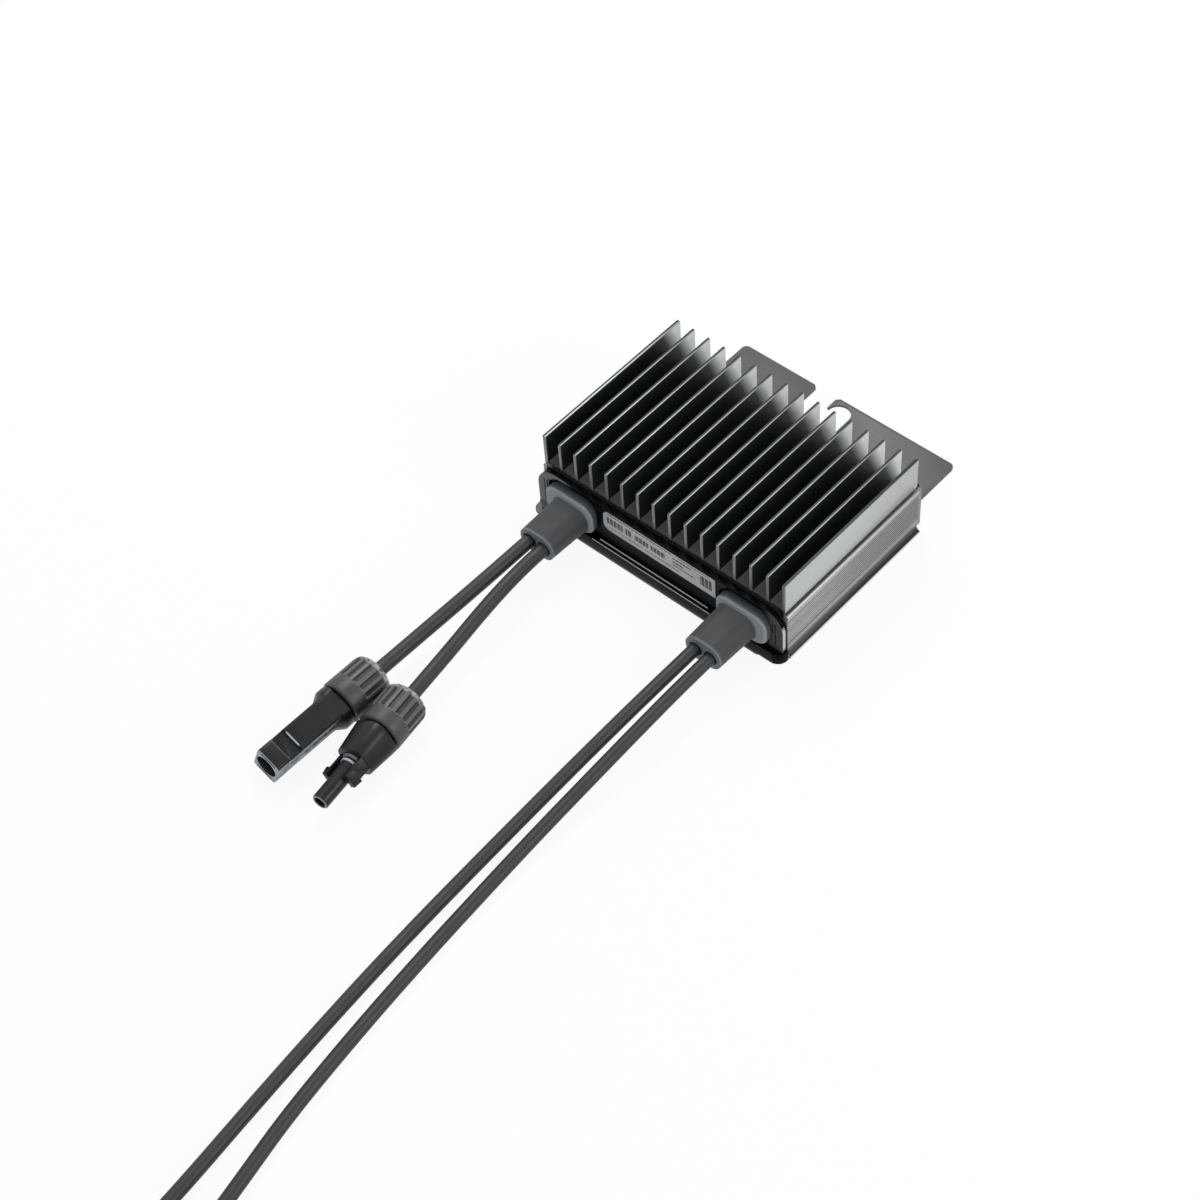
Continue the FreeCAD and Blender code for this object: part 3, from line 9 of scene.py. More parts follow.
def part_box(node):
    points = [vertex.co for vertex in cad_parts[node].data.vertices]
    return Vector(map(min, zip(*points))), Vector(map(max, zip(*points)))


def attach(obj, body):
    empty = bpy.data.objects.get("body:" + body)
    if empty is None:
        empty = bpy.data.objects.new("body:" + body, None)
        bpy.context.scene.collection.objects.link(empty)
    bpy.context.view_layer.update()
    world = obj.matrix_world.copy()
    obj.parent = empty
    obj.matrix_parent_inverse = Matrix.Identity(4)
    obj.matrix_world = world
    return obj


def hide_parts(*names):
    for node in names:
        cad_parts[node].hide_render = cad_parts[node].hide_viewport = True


bl_info = {
    "name": "Solar Power Optimizer",
    "version": (1, 0, 0),
    "blender": (4, 5, 0),
    "location": "3D View > Sidebar > Optimizer",
    "description": "Dresses a finned solar power optimizer with its boots, leads and connectors",
    "category": "Object",
}

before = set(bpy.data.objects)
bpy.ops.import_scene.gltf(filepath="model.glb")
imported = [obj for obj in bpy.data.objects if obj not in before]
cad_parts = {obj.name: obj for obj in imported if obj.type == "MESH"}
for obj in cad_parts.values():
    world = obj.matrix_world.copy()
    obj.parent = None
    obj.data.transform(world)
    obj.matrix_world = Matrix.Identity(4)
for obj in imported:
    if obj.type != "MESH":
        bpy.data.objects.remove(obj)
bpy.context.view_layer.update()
MM = 0.001

# Places in the part's frame, in millimetres
FIN_FACE = 62.1
FIN_PITCH = 8.2
BODY_HEIGHT = 27.2
GROOVE_FLOOR = 61.3
WALL_FACE = 63.4
BEAD_FACE = 64.8
RIB_PITCH = 1.3
LOWEST_RIB = 17.4
HIGHEST_RIB = 4.4
COVER_FACE = -50.5
LIP_FACE = -53.0
FLANGE_FACE = -53.4
BOOT_END = -74.0
EXIT_HEIGHT = 14.8
AXIS_HEIGHT = 9.5
FLOOR_LEVEL = 2.8
SECOND_LEVEL = 8.3
HALF_LEAD = 2.75

# A connector's sizes in millimetres, along its own axis from the back of its nut
SEAT = 12.0
NUT_LENGTH = 20.2
NUT_RADIUS = 9.5
FLUTES = 16
FLUTE_END = 13.4
TAIL_START = 5.0
TAIL_END = 21.3
TAIL_RADIUS = 7.1
BACK_BORE_START = 4.0
BACK_BORE_END = 24.0
BACK_BORE_RADIUS = 5.4
PIN_HOLE = 2.1
ARM_START = 24.5
ARM_END = 58.9
ARM_WIDTH = 11.4
ARM_HEIGHT = 14.5
NOTCH = (46.4, 52.5)
NOTCH_FLOOR = 5.55
MOUTH_RADIUS = 4.9
PLUG_FACE = 35.3
PLUG_END = 57.3
TUBE_RADIUS = 3.5
ROOT_RING = (37.6, 38.6)

# Light, and the camera's place in metres and turns in degrees
FLOOR_GLOW = 0.91
LIGHT_LEVEL = 0.62
CAMERA_PLACE = (0.45548, -0.53333, 0.81251)
CAMERA_DIP = 50.976
CAMERA_HEADING = 45.395
CAMERA_ROLL = -4.920


# Colours and sizes that a user would change

def colour(name, description, red, green, blue):
    return FloatVectorProperty(name=name, description=description, subtype="COLOR", size=3, min=0.0, max=1.0,
                               default=(red, green, blue))


def length(name, description, millimetres):
    return FloatProperty(name=name, description=description, default=millimetres * MM, min=0.0,
                         subtype="DISTANCE", unit="LENGTH")


class OptimizerColours(bpy.types.PropertyGroup):
    aluminium: colour("Aluminium", "Extruded body, where it is bare", 0.44, 0.455, 0.46)
    # A painted shade: the fins' sides down in the channels, where shade falls
    channel: colour("Channel", "Sides of the fins, down in the channels", 0.02, 0.025, 0.028)
    stainless: colour("Stainless", "Mounting bracket", 0.1, 0.095, 0.092)
    cover: colour("Cover", "Gloss black end covers", 0.002, 0.0024, 0.0028)
    label: colour("Label", "Blank label film", 0.42, 0.435, 0.445)
    boot: colour("Boot", "Rubber boots", 0.028, 0.032, 0.036)
    jacket: colour("Jacket", "Cable jackets", 0.012, 0.013, 0.014)
    nut: colour("Nut", "Gland nuts of the connectors", 0.04, 0.042, 0.044)
    housing: colour("Housing", "Housings of the connectors", 0.008, 0.009, 0.01)
    floor: colour("Floor", "Floor under the object", 0.93, 0.93, 0.93)


class OptimizerSizes(bpy.types.PropertyGroup):
    metal_edge: length("Metal Edge", "Round on the edges of the extrusion and the bracket", 0.15)
    moulded_edge: length("Moulded Edge", "Round on the edges of the moulded covers", 0.4)
    input_cable: length("Input Cable", "Diameter of the two short input leads", 6.0)
    output_cable: length("Output Cable", "Diameter of the two long output leads", 5.5)
    camera_lens: FloatProperty(name="Camera Lens", description="Focal length of the camera", default=78.63,
                               min=1.0, unit="CAMERA")


# Modelling steps

def deselect():
    if bpy.context.object and bpy.context.object.mode != "OBJECT":
        bpy.ops.object.mode_set(mode="OBJECT")
    bpy.ops.object.select_all(action="DESELECT")


def activate(piece):
    deselect()
    piece.select_set(True)
    bpy.context.view_layer.objects.active = piece


def edit(piece):
    activate(piece)
    bpy.ops.object.mode_set(mode="EDIT")


def select_faces(piece, test):
    """In edit mode, leave only the faces selected whose centre and normal pass the test."""
    bpy.ops.mesh.select_mode(type="FACE")
    bpy.ops.mesh.select_all(action="DESELECT")
    mesh = bmesh.from_edit_mesh(piece.data)
    for face in mesh.faces:
        if test(face.calc_center_median(), face.normal):
            face.select_set(True)
    mesh.select_flush_mode()
    bmesh.update_edit_mesh(piece.data)


def apply_modifier(piece, kind, **settings):
    activate(piece)
    modifier = piece.modifiers.new(kind.title(), kind)
    for name, value in settings.items():
        setattr(modifier, name, value)
    bpy.ops.object.modifier_apply(modifier=modifier.name)


def boolean(piece, tool, operation):
    """Join the tool to the piece, or cut it out of it, and remove the tool."""
    apply_modifier(piece, "BOOLEAN", object=tool, operation=operation, solver="EXACT")
    bpy.data.objects.remove(tool)


def round_edges(piece, width, segments=2, angle=30, smooth=40):
    """Round every sharp edge of the finished shape and shade it smooth between them."""
    apply_modifier(piece, "BEVEL", width=width, segments=segments, limit_method="ANGLE",
                   angle_limit=math.radians(angle), miter_outer="MITER_ARC")
    bpy.ops.object.shade_smooth_by_angle(angle=math.radians(smooth))


def make_bar(name, sections, corner=0.0, corner_segments=6):
    """A bar along X through sections (x, y, z, width, height) in millimetres; a corner rounds its edges."""
    sections = [tuple(part * MM for part in section) for section in sections]
    x, y, z, width, height = sections[0]
    deselect()
    bpy.ops.mesh.primitive_plane_add(size=1, location=(x, y, z), rotation=(0, math.pi / 2, 0))
    piece = bpy.context.object
    piece.name = name
    piece.scale = (height, width, 1)
    bpy.ops.object.transform_apply(location=True, rotation=True, scale=True)
    edit(piece)
    bpy.ops.mesh.select_all(action="SELECT")
    if corner:
        bpy.ops.mesh.bevel(offset=corner * MM, segments=corner_segments, affect="VERTICES")
    for following in sections[1:]:
        step = [following[axis] - place for axis, place in enumerate((x, y, z))]
        bpy.ops.mesh.extrude_region_move(TRANSFORM_OT_translate={"value": step})
        bpy.ops.transform.resize(value=(1, following[3] / width, following[4] / height),
                                 center_override=following[:3])
        x, y, z, width, height = following
    bpy.ops.mesh.select_all(action="SELECT")
    bpy.ops.mesh.normals_make_consistent(inside=False)
    bpy.ops.object.mode_set(mode="OBJECT")
    return piece


def make_block(name, ends, z, width, height, corner=0.0, corner_segments=6):
    """A straight bar along X between two ends, at height z over the axis."""
    return make_bar(name, [(end, 0, z, width, height) for end in ends], corner, corner_segments)


def make_turned(name, profile, segments=48):
    """A turned shape about X from its closed profile of (x, radius) in millimetres, where 0 is the axis."""
    profile = [(x * MM, radius * MM) for x, radius in profile]
    if all(radius > 0 for _, radius in profile):
        profile.append(profile[0])
    tip = 1e-5
    x, radius = profile[0][0], max(profile[0][1], tip)
    deselect()
    bpy.ops.mesh.primitive_circle_add(vertices=segments, radius=radius, location=(x, 0, 0),
                                      rotation=(0, math.pi / 2, 0))
    piece = bpy.context.object
    piece.name = name
    bpy.ops.object.transform_apply(location=True, rotation=True, scale=True)
    edit(piece)
    bpy.ops.mesh.select_all(action="SELECT")
    for following_x, following_radius in profile[1:]:
        following_radius = max(following_radius, tip)
        bpy.ops.mesh.extrude_edges_move(TRANSFORM_OT_translate={"value": (following_x - x, 0, 0)})
        bpy.ops.transform.resize(value=(1, following_radius / radius, following_radius / radius),
                                 center_override=(following_x, 0, 0))
        x, radius = following_x, following_radius
    bpy.ops.mesh.select_all(action="SELECT")
    bpy.ops.mesh.remove_doubles(threshold=3 * tip)
    bpy.ops.mesh.normals_make_consistent(inside=False)
    bpy.ops.object.mode_set(mode="OBJECT")
    return piece


def lay(piece, place, heading, roll):
    """Move a piece that was modelled along X to its place, rolled and turned, and keep all in its mesh."""
    keep_own_place(piece)
    activate(piece)
    piece.location = place
    piece.rotation_euler = (math.radians(roll), 0, math.radians(heading))
    bpy.ops.object.transform_apply(location=True, rotation=True, scale=True)
    return piece


def keep_own_place(piece):
    """Store each point's place in the piece's own axes, for finishes that follow a connector's shape."""
    own = piece.data.attributes.new("own_place", "FLOAT_VECTOR", "POINT")
    for vertex, item in zip(piece.data.vertices, own.data):
        item.vector = vertex.co


def copy_node(name, node):
    """A merged copy of a node's mesh, with its flat faces whole, ready to be worked on."""
    piece = bpy.data.objects.new(name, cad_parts[node].data.copy())
    bpy.context.scene.collection.objects.link(piece)
    piece.data.materials.clear()
    edit(piece)
    bpy.ops.mesh.customdata_custom_splitnormals_clear()
    bpy.ops.mesh.select_all(action="SELECT")
    bpy.ops.mesh.remove_doubles(threshold=0.002 * MM)
    bpy.ops.mesh.dissolve_limited(angle_limit=math.radians(0.5))
    bpy.ops.object.mode_set(mode="OBJECT")
    return piece


def dress(piece, node, material):
    """Hand a finished piece over: it stands for the node and rides with it."""
    piece.data.materials.clear()
    piece.data.materials.append(material)
    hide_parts(node)
    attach(piece, "root")


# Finishes; all their places are in millimetres

def make_finish(name, base, roughness, metallic=0.0, **sockets):
    material = bpy.data.materials.new(name)
    material.use_nodes = True
    shader = material.node_tree.nodes["Principled BSDF"]
    shader.inputs["Base Color"].default_value = (*base, 1)
    shader.inputs["Roughness"].default_value = roughness
    shader.inputs["Metallic"].default_value = metallic
    for socket, value in sockets.items():
        shader.inputs[socket.replace("_", " ").title().replace("Ior", "IOR")].default_value = value
    return material


def shade(base, factor):
    return tuple(min(1.0, part * factor) for part in base)


def box_in_millimetres(node):
    return [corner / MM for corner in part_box(node)]


class Nodes:
    """Short ways to add the nodes of one finish, which builds up its tone coat by coat."""

    def __init__(self, material, own_place=False):
        self.tree = material.node_tree
        self.shader = self.tree.nodes["Principled BSDF"]
        self.tone = None
        if own_place:
            self.place = self.add("ShaderNodeAttribute", attribute_name="own_place").outputs["Vector"]
        else:
            self.place = self.add("ShaderNodeTexCoord").outputs["Object"]

    def add(self, kind, **settings):
        node = self.tree.nodes.new(kind)
        for name, value in settings.items():
            setattr(node, name, value)
        return node

    def link(self, source, target):
        self.tree.links.new(source, target)

    def stretched(self, scale):
        mapping = self.add("ShaderNodeMapping")
        mapping.inputs["Scale"].default_value = scale
        self.link(self.place, mapping.inputs["Vector"])
        return mapping.outputs["Vector"]

    def noise(self, scale, detail=3.0, stretch=(1, 1, 1)):
        noise = self.add("ShaderNodeTexNoise")
        noise.inputs["Scale"].default_value = scale
        noise.inputs["Detail"].default_value = detail
        self.link(self.stretched(stretch), noise.inputs["Vector"])
        return noise.outputs["Fac"]

    def axes(self, scale=1 / MM):
        """The three parts of the place, in millimetres, or in metres with a scale of 1."""
        node = self.add("ShaderNodeSeparateXYZ")
        self.link(self.place, node.inputs["Vector"])
        return [self.math("MULTIPLY", part, scale) for part in node.outputs]

    def radius(self):
        """The distance from the piece's own long axis, in millimetres."""
        node = self.add("ShaderNodeVectorMath", operation="LENGTH")
        self.link(self.stretched((0, 1, 1)), node.inputs[0])
        return self.math("MULTIPLY", node.outputs["Value"], 1 / MM)

    def math(self, operation, first, second):
        node = self.add("ShaderNodeMath", operation=operation)
        for socket, value in zip(node.inputs, (first, second)):
            if isinstance(value, (int, float)):
                socket.default_value = value
            else:
                self.link(value, socket)
        return node.outputs[0]

    def away(self, value):
        return self.math("ABSOLUTE", value, 0)

    def span(self, value, low, high, out_low=0.0, out_high=1.0):
        """Map low..high of a value to out_low..out_high, held at both ends."""
        node = self.add("ShaderNodeMapRange")
        limits = {"From Min": low, "From Max": high, "To Min": out_low, "To Max": out_high}
        for socket, number in limits.items():
            node.inputs[socket].default_value = number
        self.link(value, node.inputs["Value"])
        return node.outputs["Result"]

    def below(self, value, low, high, most=1.0):
        """The most up to low, falling to 0 at high."""
        return self.span(value, low, high, most, 0)

    def within(self, value, low, high, blur=0.1):
        """1 where a value lies between low and high, 0 outside."""
        return self.both(self.span(value, low - blur / 2, low + blur / 2),
                         self.below(value, high - blur / 2, high + blur / 2))

    def both(self, *shares):
        product = shares[0]
        for share in shares[1:]:
            product = self.math("MULTIPLY", product, share)
        return product

    def either(self, first, second):
        return self.math("MAXIMUM", first, second)

    def mix(self, amount, first, second):
        """Mix two colours, each a tuple or another node's output."""
        node = self.add("ShaderNodeMix", data_type="RGBA")
        self.link(amount, node.inputs["Factor"])
        for socket, value in ((node.inputs[6], first), (node.inputs[7], second)):
            if isinstance(value, tuple):
                socket.default_value = (*value, 1)
            else:
                self.link(value, socket)
        return node.outputs[2]

    def start(self, drift, base, dark, light):
        """Begin the tone with the base colour, drifting from one shade to another."""
        self.tone = self.mix(self.span(drift, 0.3, 0.7), shade(base, dark), shade(base, light))

    def coat(self, share, value, strength=1.0):
        """Lay a colour over the tone so far, as strongly as the share says."""
        if strength < 1:
            share = self.math("MULTIPLY", share, strength)
        self.tone = self.mix(share, self.tone, value)

    def paint(self):
        self.link(self.tone, self.shader.inputs["Base Color"])

    def polish(self, drift, low, high):
        self.link(self.span(drift, 0.3, 0.7, low, high), self.shader.inputs["Roughness"])

    def bump(self, height, distance, strength):
        node = self.add("ShaderNodeBump")
        node.inputs["Strength"].default_value = strength
        node.inputs["Distance"].default_value = distance * MM
        self.link(height, node.inputs["Height"])
        self.link(node.outputs["Normal"], self.shader.inputs["Normal"])


def mottled(name, base, roughness, scale, spread=0.25, grain_scale=2500, metallic=0.0, stretch=(1, 1, 1)):
    """A finish whose tone and gloss drift a little, over a fine grain."""
    material = make_finish(name, base, roughness, metallic)
    nodes = Nodes(material)
    drift = nodes.noise(scale, stretch=stretch)
    nodes.start(drift, base, 1 - spread, 1 + spread)
    nodes.paint()
    nodes.polish(drift, roughness - 0.06, roughness + 0.06)
    nodes.bump(nodes.noise(grain_scale, 2.0, stretch), 0.02, 0.4)
    return material


def paint_side_walls(nodes, metal, ground, plate):
    """From the outer fin down, all painted light: painted shade under the outer fin, in the groove under it, on
    the ribbed wall, on the foot and between the ribs, and a painted highlight on the bead.
    """
    across, _, up = nodes.axes()
    side = nodes.away(across)
    outside = nodes.span(side, GROOVE_FLOOR - 0.2, GROOVE_FLOOR - 0.05)
    wall = nodes.span(side, WALL_FACE - 0.8, WALL_FACE - 0.5)
    # Painted shade fading down under the outer fin
    fading = nodes.both(outside, nodes.math("SUBTRACT", 1, wall),
                        nodes.below(up, plate - 1.0, plate + 0.3, 0.4))
    nodes.coat(fading, shade(metal, 0.2))
    # Painted shade in the groove
    groove = nodes.both(outside, nodes.below(side, WALL_FACE - 1.2, WALL_FACE),
                        nodes.within(up, plate - 2.5, plate - 0.75))
    nodes.coat(groove, shade(metal, 0.3))
    # Painted shade: the wall darker from the ribs down
    ribbed = nodes.both(wall, nodes.below(up, plate - 5.4, plate - 4.4))
    nodes.coat(ribbed, shade(metal, 0.2), 0.42)
    # Painted shade on the concave foot
    foot = nodes.both(wall, nodes.below(up, ground + 1.9, ground + 5.6))
    nodes.coat(foot, shade(metal, 0.04))
    # Painted highlight on the bead
    bead = nodes.both(nodes.span(side, BEAD_FACE - 0.7, BEAD_FACE - 0.5),
                      nodes.below(up, ground + 1.1, ground + 1.3))
    nodes.coat(bead, shade(metal, 1.3))
    # Painted shade in the grooves between the ribs
    first_rib = plate - (LOWEST_RIB + RIB_PITCH / 2)
    over_rib = nodes.math("FLOORED_MODULO", nodes.math("SUBTRACT", up, first_rib), RIB_PITCH)
    between_ribs = nodes.both(
        nodes.within(over_rib, 0.3, 1.0, 0.3), nodes.span(side, WALL_FACE - 1.0, WALL_FACE - 0.8),
        nodes.within(up, plate - (LOWEST_RIB + RIB_PITCH + 0.6), plate - (HIGHEST_RIB - 0.6)))
    nodes.coat(between_ribs, shade(metal, 0.08), 0.9)


def paint_fins(nodes, metal, channel, low, high, plate):
    """Painted light on the fins: painted shade down their sides and on the front ledge, a painted reflection
    making them paler towards the rear end, and the top of each toned darker towards the rear, with painted
    shade on its left part.
    """
    across, along, up = nodes.axes()
    inside = nodes.below(nodes.away(across), FIN_FACE - 0.8, FIN_FACE - 0.6)
    # Painted shade along the plate's front ledge
    ledge = nodes.both(nodes.below(along, low.y + 0.5, low.y + 0.6), inside,
                       nodes.below(up, plate + 0.1, plate + 0.3))
    nodes.coat(ledge, channel)
    lean = 0.36
    # A painted reflection: the fins' sides paler towards the rear end
    rearward = nodes.math("ADD", along, nodes.math("MULTIPLY", up, lean))
    rear_end = high.y + lean * high.z
    faint = nodes.span(rearward, rear_end - 24, rear_end - 8, 0, 0.07)
    pale = nodes.either(nodes.span(rearward, rear_end - 12, rear_end - 5), faint)
    below_top = nodes.below(up, high.z - 0.25, high.z - 0.12)
    # Painted shade down the fins' sides, with the painted reflection towards the rear
    between = nodes.both(inside, nodes.span(up, plate - 0.25, plate + 0.05), below_top,
                         nodes.span(along, low.y + 0.2, low.y + 0.4))
    nodes.coat(between, nodes.mix(nodes.math("POWER", pale, 1.2), channel, shade(metal, 1.4)))
    # Painted shade on the tops, darker towards the rear
    on_top = nodes.span(up, high.z - 0.25, high.z - 0.12)
    line = nodes.mix(nodes.span(along, high.y - 20, high.y - 4), shade(metal, 0.8), shade(metal, 0.5))
    nodes.coat(on_top, line)
    # Painted shade on the left part of each top and on the outer fin's top
    over_fin = nodes.math("FLOORED_MODULO", nodes.math("ADD", nodes.axes(1)[0], FIN_FACE * MM), FIN_PITCH * MM)
    dark_part = nodes.either(nodes.below(over_fin, 0.78 * MM, 0.9 * MM),
                             nodes.within(across, FIN_FACE - 1.7, FIN_FACE - 0.2))
    nodes.coat(nodes.both(on_top, dark_part), channel)


def make_body_finish(colours):
    """Extruded aluminium with drawn lines along Y, and painted light: painted shade down the fins' channels, on
    the side walls, on the front ends and towards the rear, and a painted reflection on the fins' rear ends.
    """
    material = make_finish("extruded_aluminium", colours.aluminium, 0.42, 0.55)
    nodes = Nodes(material)
    low, high = box_in_millimetres("heat_sink")
    plate = low.z + BODY_HEIGHT
    metal = tuple(colours.aluminium)
    _, along, _ = nodes.axes()
    nodes.start(nodes.noise(60, 3.0, (1, 0.2, 1)), metal, 1.02, 1.16)
    # Painted shade: darker towards the rear end
    nodes.coat(nodes.span(along, high.y - 40, high.y, 0, 0.3), shade(metal, 0.5))
    paint_side_walls(nodes, metal, low.z, plate)
    # Painted shade on the front end faces
    nodes.coat(nodes.below(along, low.y + 0.1, low.y + 0.3), shade(metal, 0.5))
    paint_fins(nodes, metal, tuple(colours.channel), low, high, plate)
    nodes.paint()
    lines = nodes.noise(900, 2.0, (1, 0.01, 1))
    nodes.polish(lines, 0.36, 0.48)
    nodes.bump(lines, 0.02, 0.3)
    return material


def make_bracket_finish(colours):
    """Rolled stainless sheet with a faint brushed grain and soft clouding."""
    material = make_finish("stainless_sheet", colours.stainless, 0.5, 0.5)
    nodes = Nodes(material)
    cloud = nodes.noise(45, 4.0)
    grain = nodes.noise(700, 2.0, (0.02, 1, 1))
    nodes.start(cloud, colours.stainless, 0.88, 1.1)
    nodes.coat(nodes.span(grain, 0.35, 0.8, 0, 0.3), shade(colours.stainless, 1.3))
    nodes.paint()
    nodes.polish(cloud, 0.44, 0.56)
    nodes.bump(grain, 0.02, 0.3)
    return material


def make_cover_finish(colours):
    """Gloss black moulding with a little dust, and painted light: painted reflections on its end faces, its
    lip's front face and the rear cover's ends and top, and painted highlights along its lip, its bead and an
    upright corner.
    """
    material = make_finish("gloss_black_moulding", colours.cover, 0.3, specular_ior_level=0.03)
    nodes = Nodes(material)
    across, along, up = nodes.axes()
    dust = nodes.span(nodes.noise(1300, 1.0), 0.74, 0.82, 0, 0.6)
    nodes.tone = nodes.mix(dust, tuple(colours.cover), (0.05, 0.055, 0.06))
    front = nodes.below(along, COVER_FACE + 0.2, COVER_FACE + 0.6)
    # Painted reflection on the left end's front face
    left_top = nodes.both(nodes.below(across, -50, -45), nodes.span(up, 23.6, 24.6))
    left_end = nodes.both(front, nodes.either(nodes.below(across, -58.5, -57), left_top))
    nodes.coat(left_end, (0.16, 0.165, 0.17))
    # Painted reflection on the right end's front face
    right_end = nodes.both(front, nodes.span(across, 54, 58), nodes.span(up, 7, 9))
    nodes.coat(right_end, (0.06, 0.063, 0.066))
    # Painted highlight on the right upright corner
    corner = nodes.both(nodes.span(across, 62.6, 62.8), nodes.within(along, -50.2, -48.6, 0.3),
                        nodes.within(up, 9, 21, 2))
    nodes.coat(corner, (0.5, 0.51, 0.52))
    # Painted sheen: the lip's front face a little lighter
    nodes.coat(nodes.below(along, LIP_FACE + 0.05, LIP_FACE + 0.15), (0.012, 0.0125, 0.012))
    # Painted light: the rear cover's ends and top pale
    end_or_top = nodes.either(nodes.span(nodes.away(across), 60.8, 61.4), nodes.span(up, 25.8, 26.4))
    nodes.coat(nodes.both(nodes.span(along, 30, 31), end_or_top), (0.26, 0.265, 0.27))
    # Painted highlights along the lip's top edge and the bead
    lip_line = nodes.both(nodes.within(along, LIP_FACE - 0.05, LIP_FACE + 0.24), nodes.span(up, 6.55, 6.65))
    bead_line = nodes.both(nodes.within(along, -51.65, -51.2), nodes.span(up, 7.15, 7.3))
    lines = nodes.both(nodes.within(across, -33, 28.8), nodes.either(lip_line, bead_line))
    nodes.coat(lines, (0.55, 0.56, 0.56))
    nodes.paint()
    nodes.polish(nodes.noise(70, 2.0), 0.26, 0.36)
    return material


LABEL_FIELDS = (
    (-25.5, 8.0, 0.5, 1.1), (11.0, 27.5, 0.6, 1.0), (-26.0, -17.5, 2.6, 6.4), (-16.2, -13.0, 2.6, 6.4),
    (-11.5, -4.2, 3.2, 6.2), (-3.0, 4.5, 3.2, 6.2), (8.5, 18.0, 2.0, 3.0), (8.5, 14.0, 4.0, 5.0),
    (8.5, 20.0, 6.0, 6.8), (-25.0, -8.0, 8.0, 8.6), (-6.0, 12.0, 8.0, 8.6), (22.5, 28.5, 2.2, 7.8),
)
STRIPE_PITCH = 1.9


def make_label_finish(colours):
    """Satin film with plain dark fields in rows, each given by its span in X and its span down from the top."""
    material = make_finish("label_film", colours.label, 0.4)
    nodes = Nodes(material)
    across, _, up = nodes.axes()
    top = box_in_millimetres("label_plate")[1].z
    fields = 0.0
    for left, right, upper, lower in LABEL_FIELDS:
        field = nodes.both(nodes.within(across, left, right, 0.15),
                           nodes.within(up, top - lower, top - upper, 0.15))
        fields = nodes.either(fields, field)
    stripes = nodes.span(nodes.math("FLOORED_MODULO", across, STRIPE_PITCH), 0.35, 0.55, 0.3, 1.0)
    nodes.start(nodes.noise(120, 2.0), colours.label, 0.9, 1.1)
    nodes.coat(nodes.both(fields, stripes), shade(colours.label, 0.03))
    nodes.paint()
    nodes.bump(nodes.noise(900, 2.0), 0.01, 0.3)
    return material


def make_boot_finish(colours):
    """Moulded rubber, with painted light: lighter on the flange, and painted highlights on the flange's face
    and round the sleeve's rim.
    """
    material = make_finish("boot_rubber", colours.boot, 0.62, sheen_weight=0.1)
    nodes = Nodes(material)
    _, along, _ = nodes.axes()
    drift = nodes.noise(90, 3.0)
    nodes.start(drift, colours.boot, 0.88, 1.1)
    # Painted light on the flange
    nodes.coat(nodes.span(along, FLANGE_FACE - 1.0, FLANGE_FACE + 0.1), shade(colours.boot, 2.4))
    # Painted highlight on the flange's face
    nodes.coat(nodes.within(along, FLANGE_FACE - 0.3, FLANGE_FACE + 0.9, 0.5), shade(colours.boot, 9.5), 0.8)
    # Painted highlight round the sleeve's rim
    nodes.coat(nodes.below(along, BOOT_END + 0.3, BOOT_END + 1.3, 0.85), shade(colours.boot, 5.2))
    nodes.paint()
    nodes.polish(drift, 0.56, 0.68)
    nodes.bump(nodes.noise(1800, 2.0), 0.03, 0.4)
    return material


def make_nut_finish(colours):
    """Grained moulding, with painted light: lighter ridges, painted shade in the flutes, and painted highlights
    on the flute ends and on the domed back, broken up by noise.
    """
    material = make_finish("connector_nut", colours.nut, 0.46)
    nodes = Nodes(material, own_place=True)
    base = tuple(colours.nut)
    along, across, up = nodes.axes()
    radius = nodes.radius()
    drift = nodes.noise(150, 3.0)
    nodes.start(drift, base, 0.85, 1.2)
    fluted = nodes.within(along, 1.0, FLUTE_END)
    # Painted light on the ridges
    ridge = nodes.both(fluted, nodes.span(radius, NUT_RADIUS - 0.3, NUT_RADIUS - 0.05))
    nodes.coat(ridge, shade(base, 3.2), 0.6)
    # Painted shade on the flute floors
    floor = nodes.both(fluted, nodes.below(radius, NUT_RADIUS - 0.75, NUT_RADIUS - 0.5),
                       nodes.span(along, 2.4, 3.2))
    nodes.coat(floor, shade(base, 0.8))
    # Painted shade down one side of each flute
    pitch = 2 * math.pi / FLUTES
    turn = nodes.math("FLOORED_MODULO", nodes.math("ARCTAN2", up, across), pitch)
    shadow = nodes.both(floor, nodes.within(turn, 0.34 * pitch, 0.66 * pitch, 0.06 * pitch))
    nodes.coat(shadow, shade(base, 0.05))
    # Painted highlights on the flute ends
    flute_end = nodes.both(nodes.within(along, FLUTE_END - 0.7, FLUTE_END + 0.1),
                           nodes.below(radius, NUT_RADIUS - 0.2, NUT_RADIUS - 0.05))
    nodes.coat(flute_end, shade(base, 4.5), 0.8)
    # Painted highlight on the domed back, broken up by noise
    dome = nodes.both(nodes.below(along, 2.0, 3.4), nodes.span(nodes.noise(260, 3.0), 0.38, 0.55))
    nodes.coat(dome, shade(base, 10.0))
    nodes.paint()
    nodes.polish(drift, 0.4, 0.52)
    nodes.bump(nodes.noise(2600, 2.0), 0.03, 0.4)
    return material


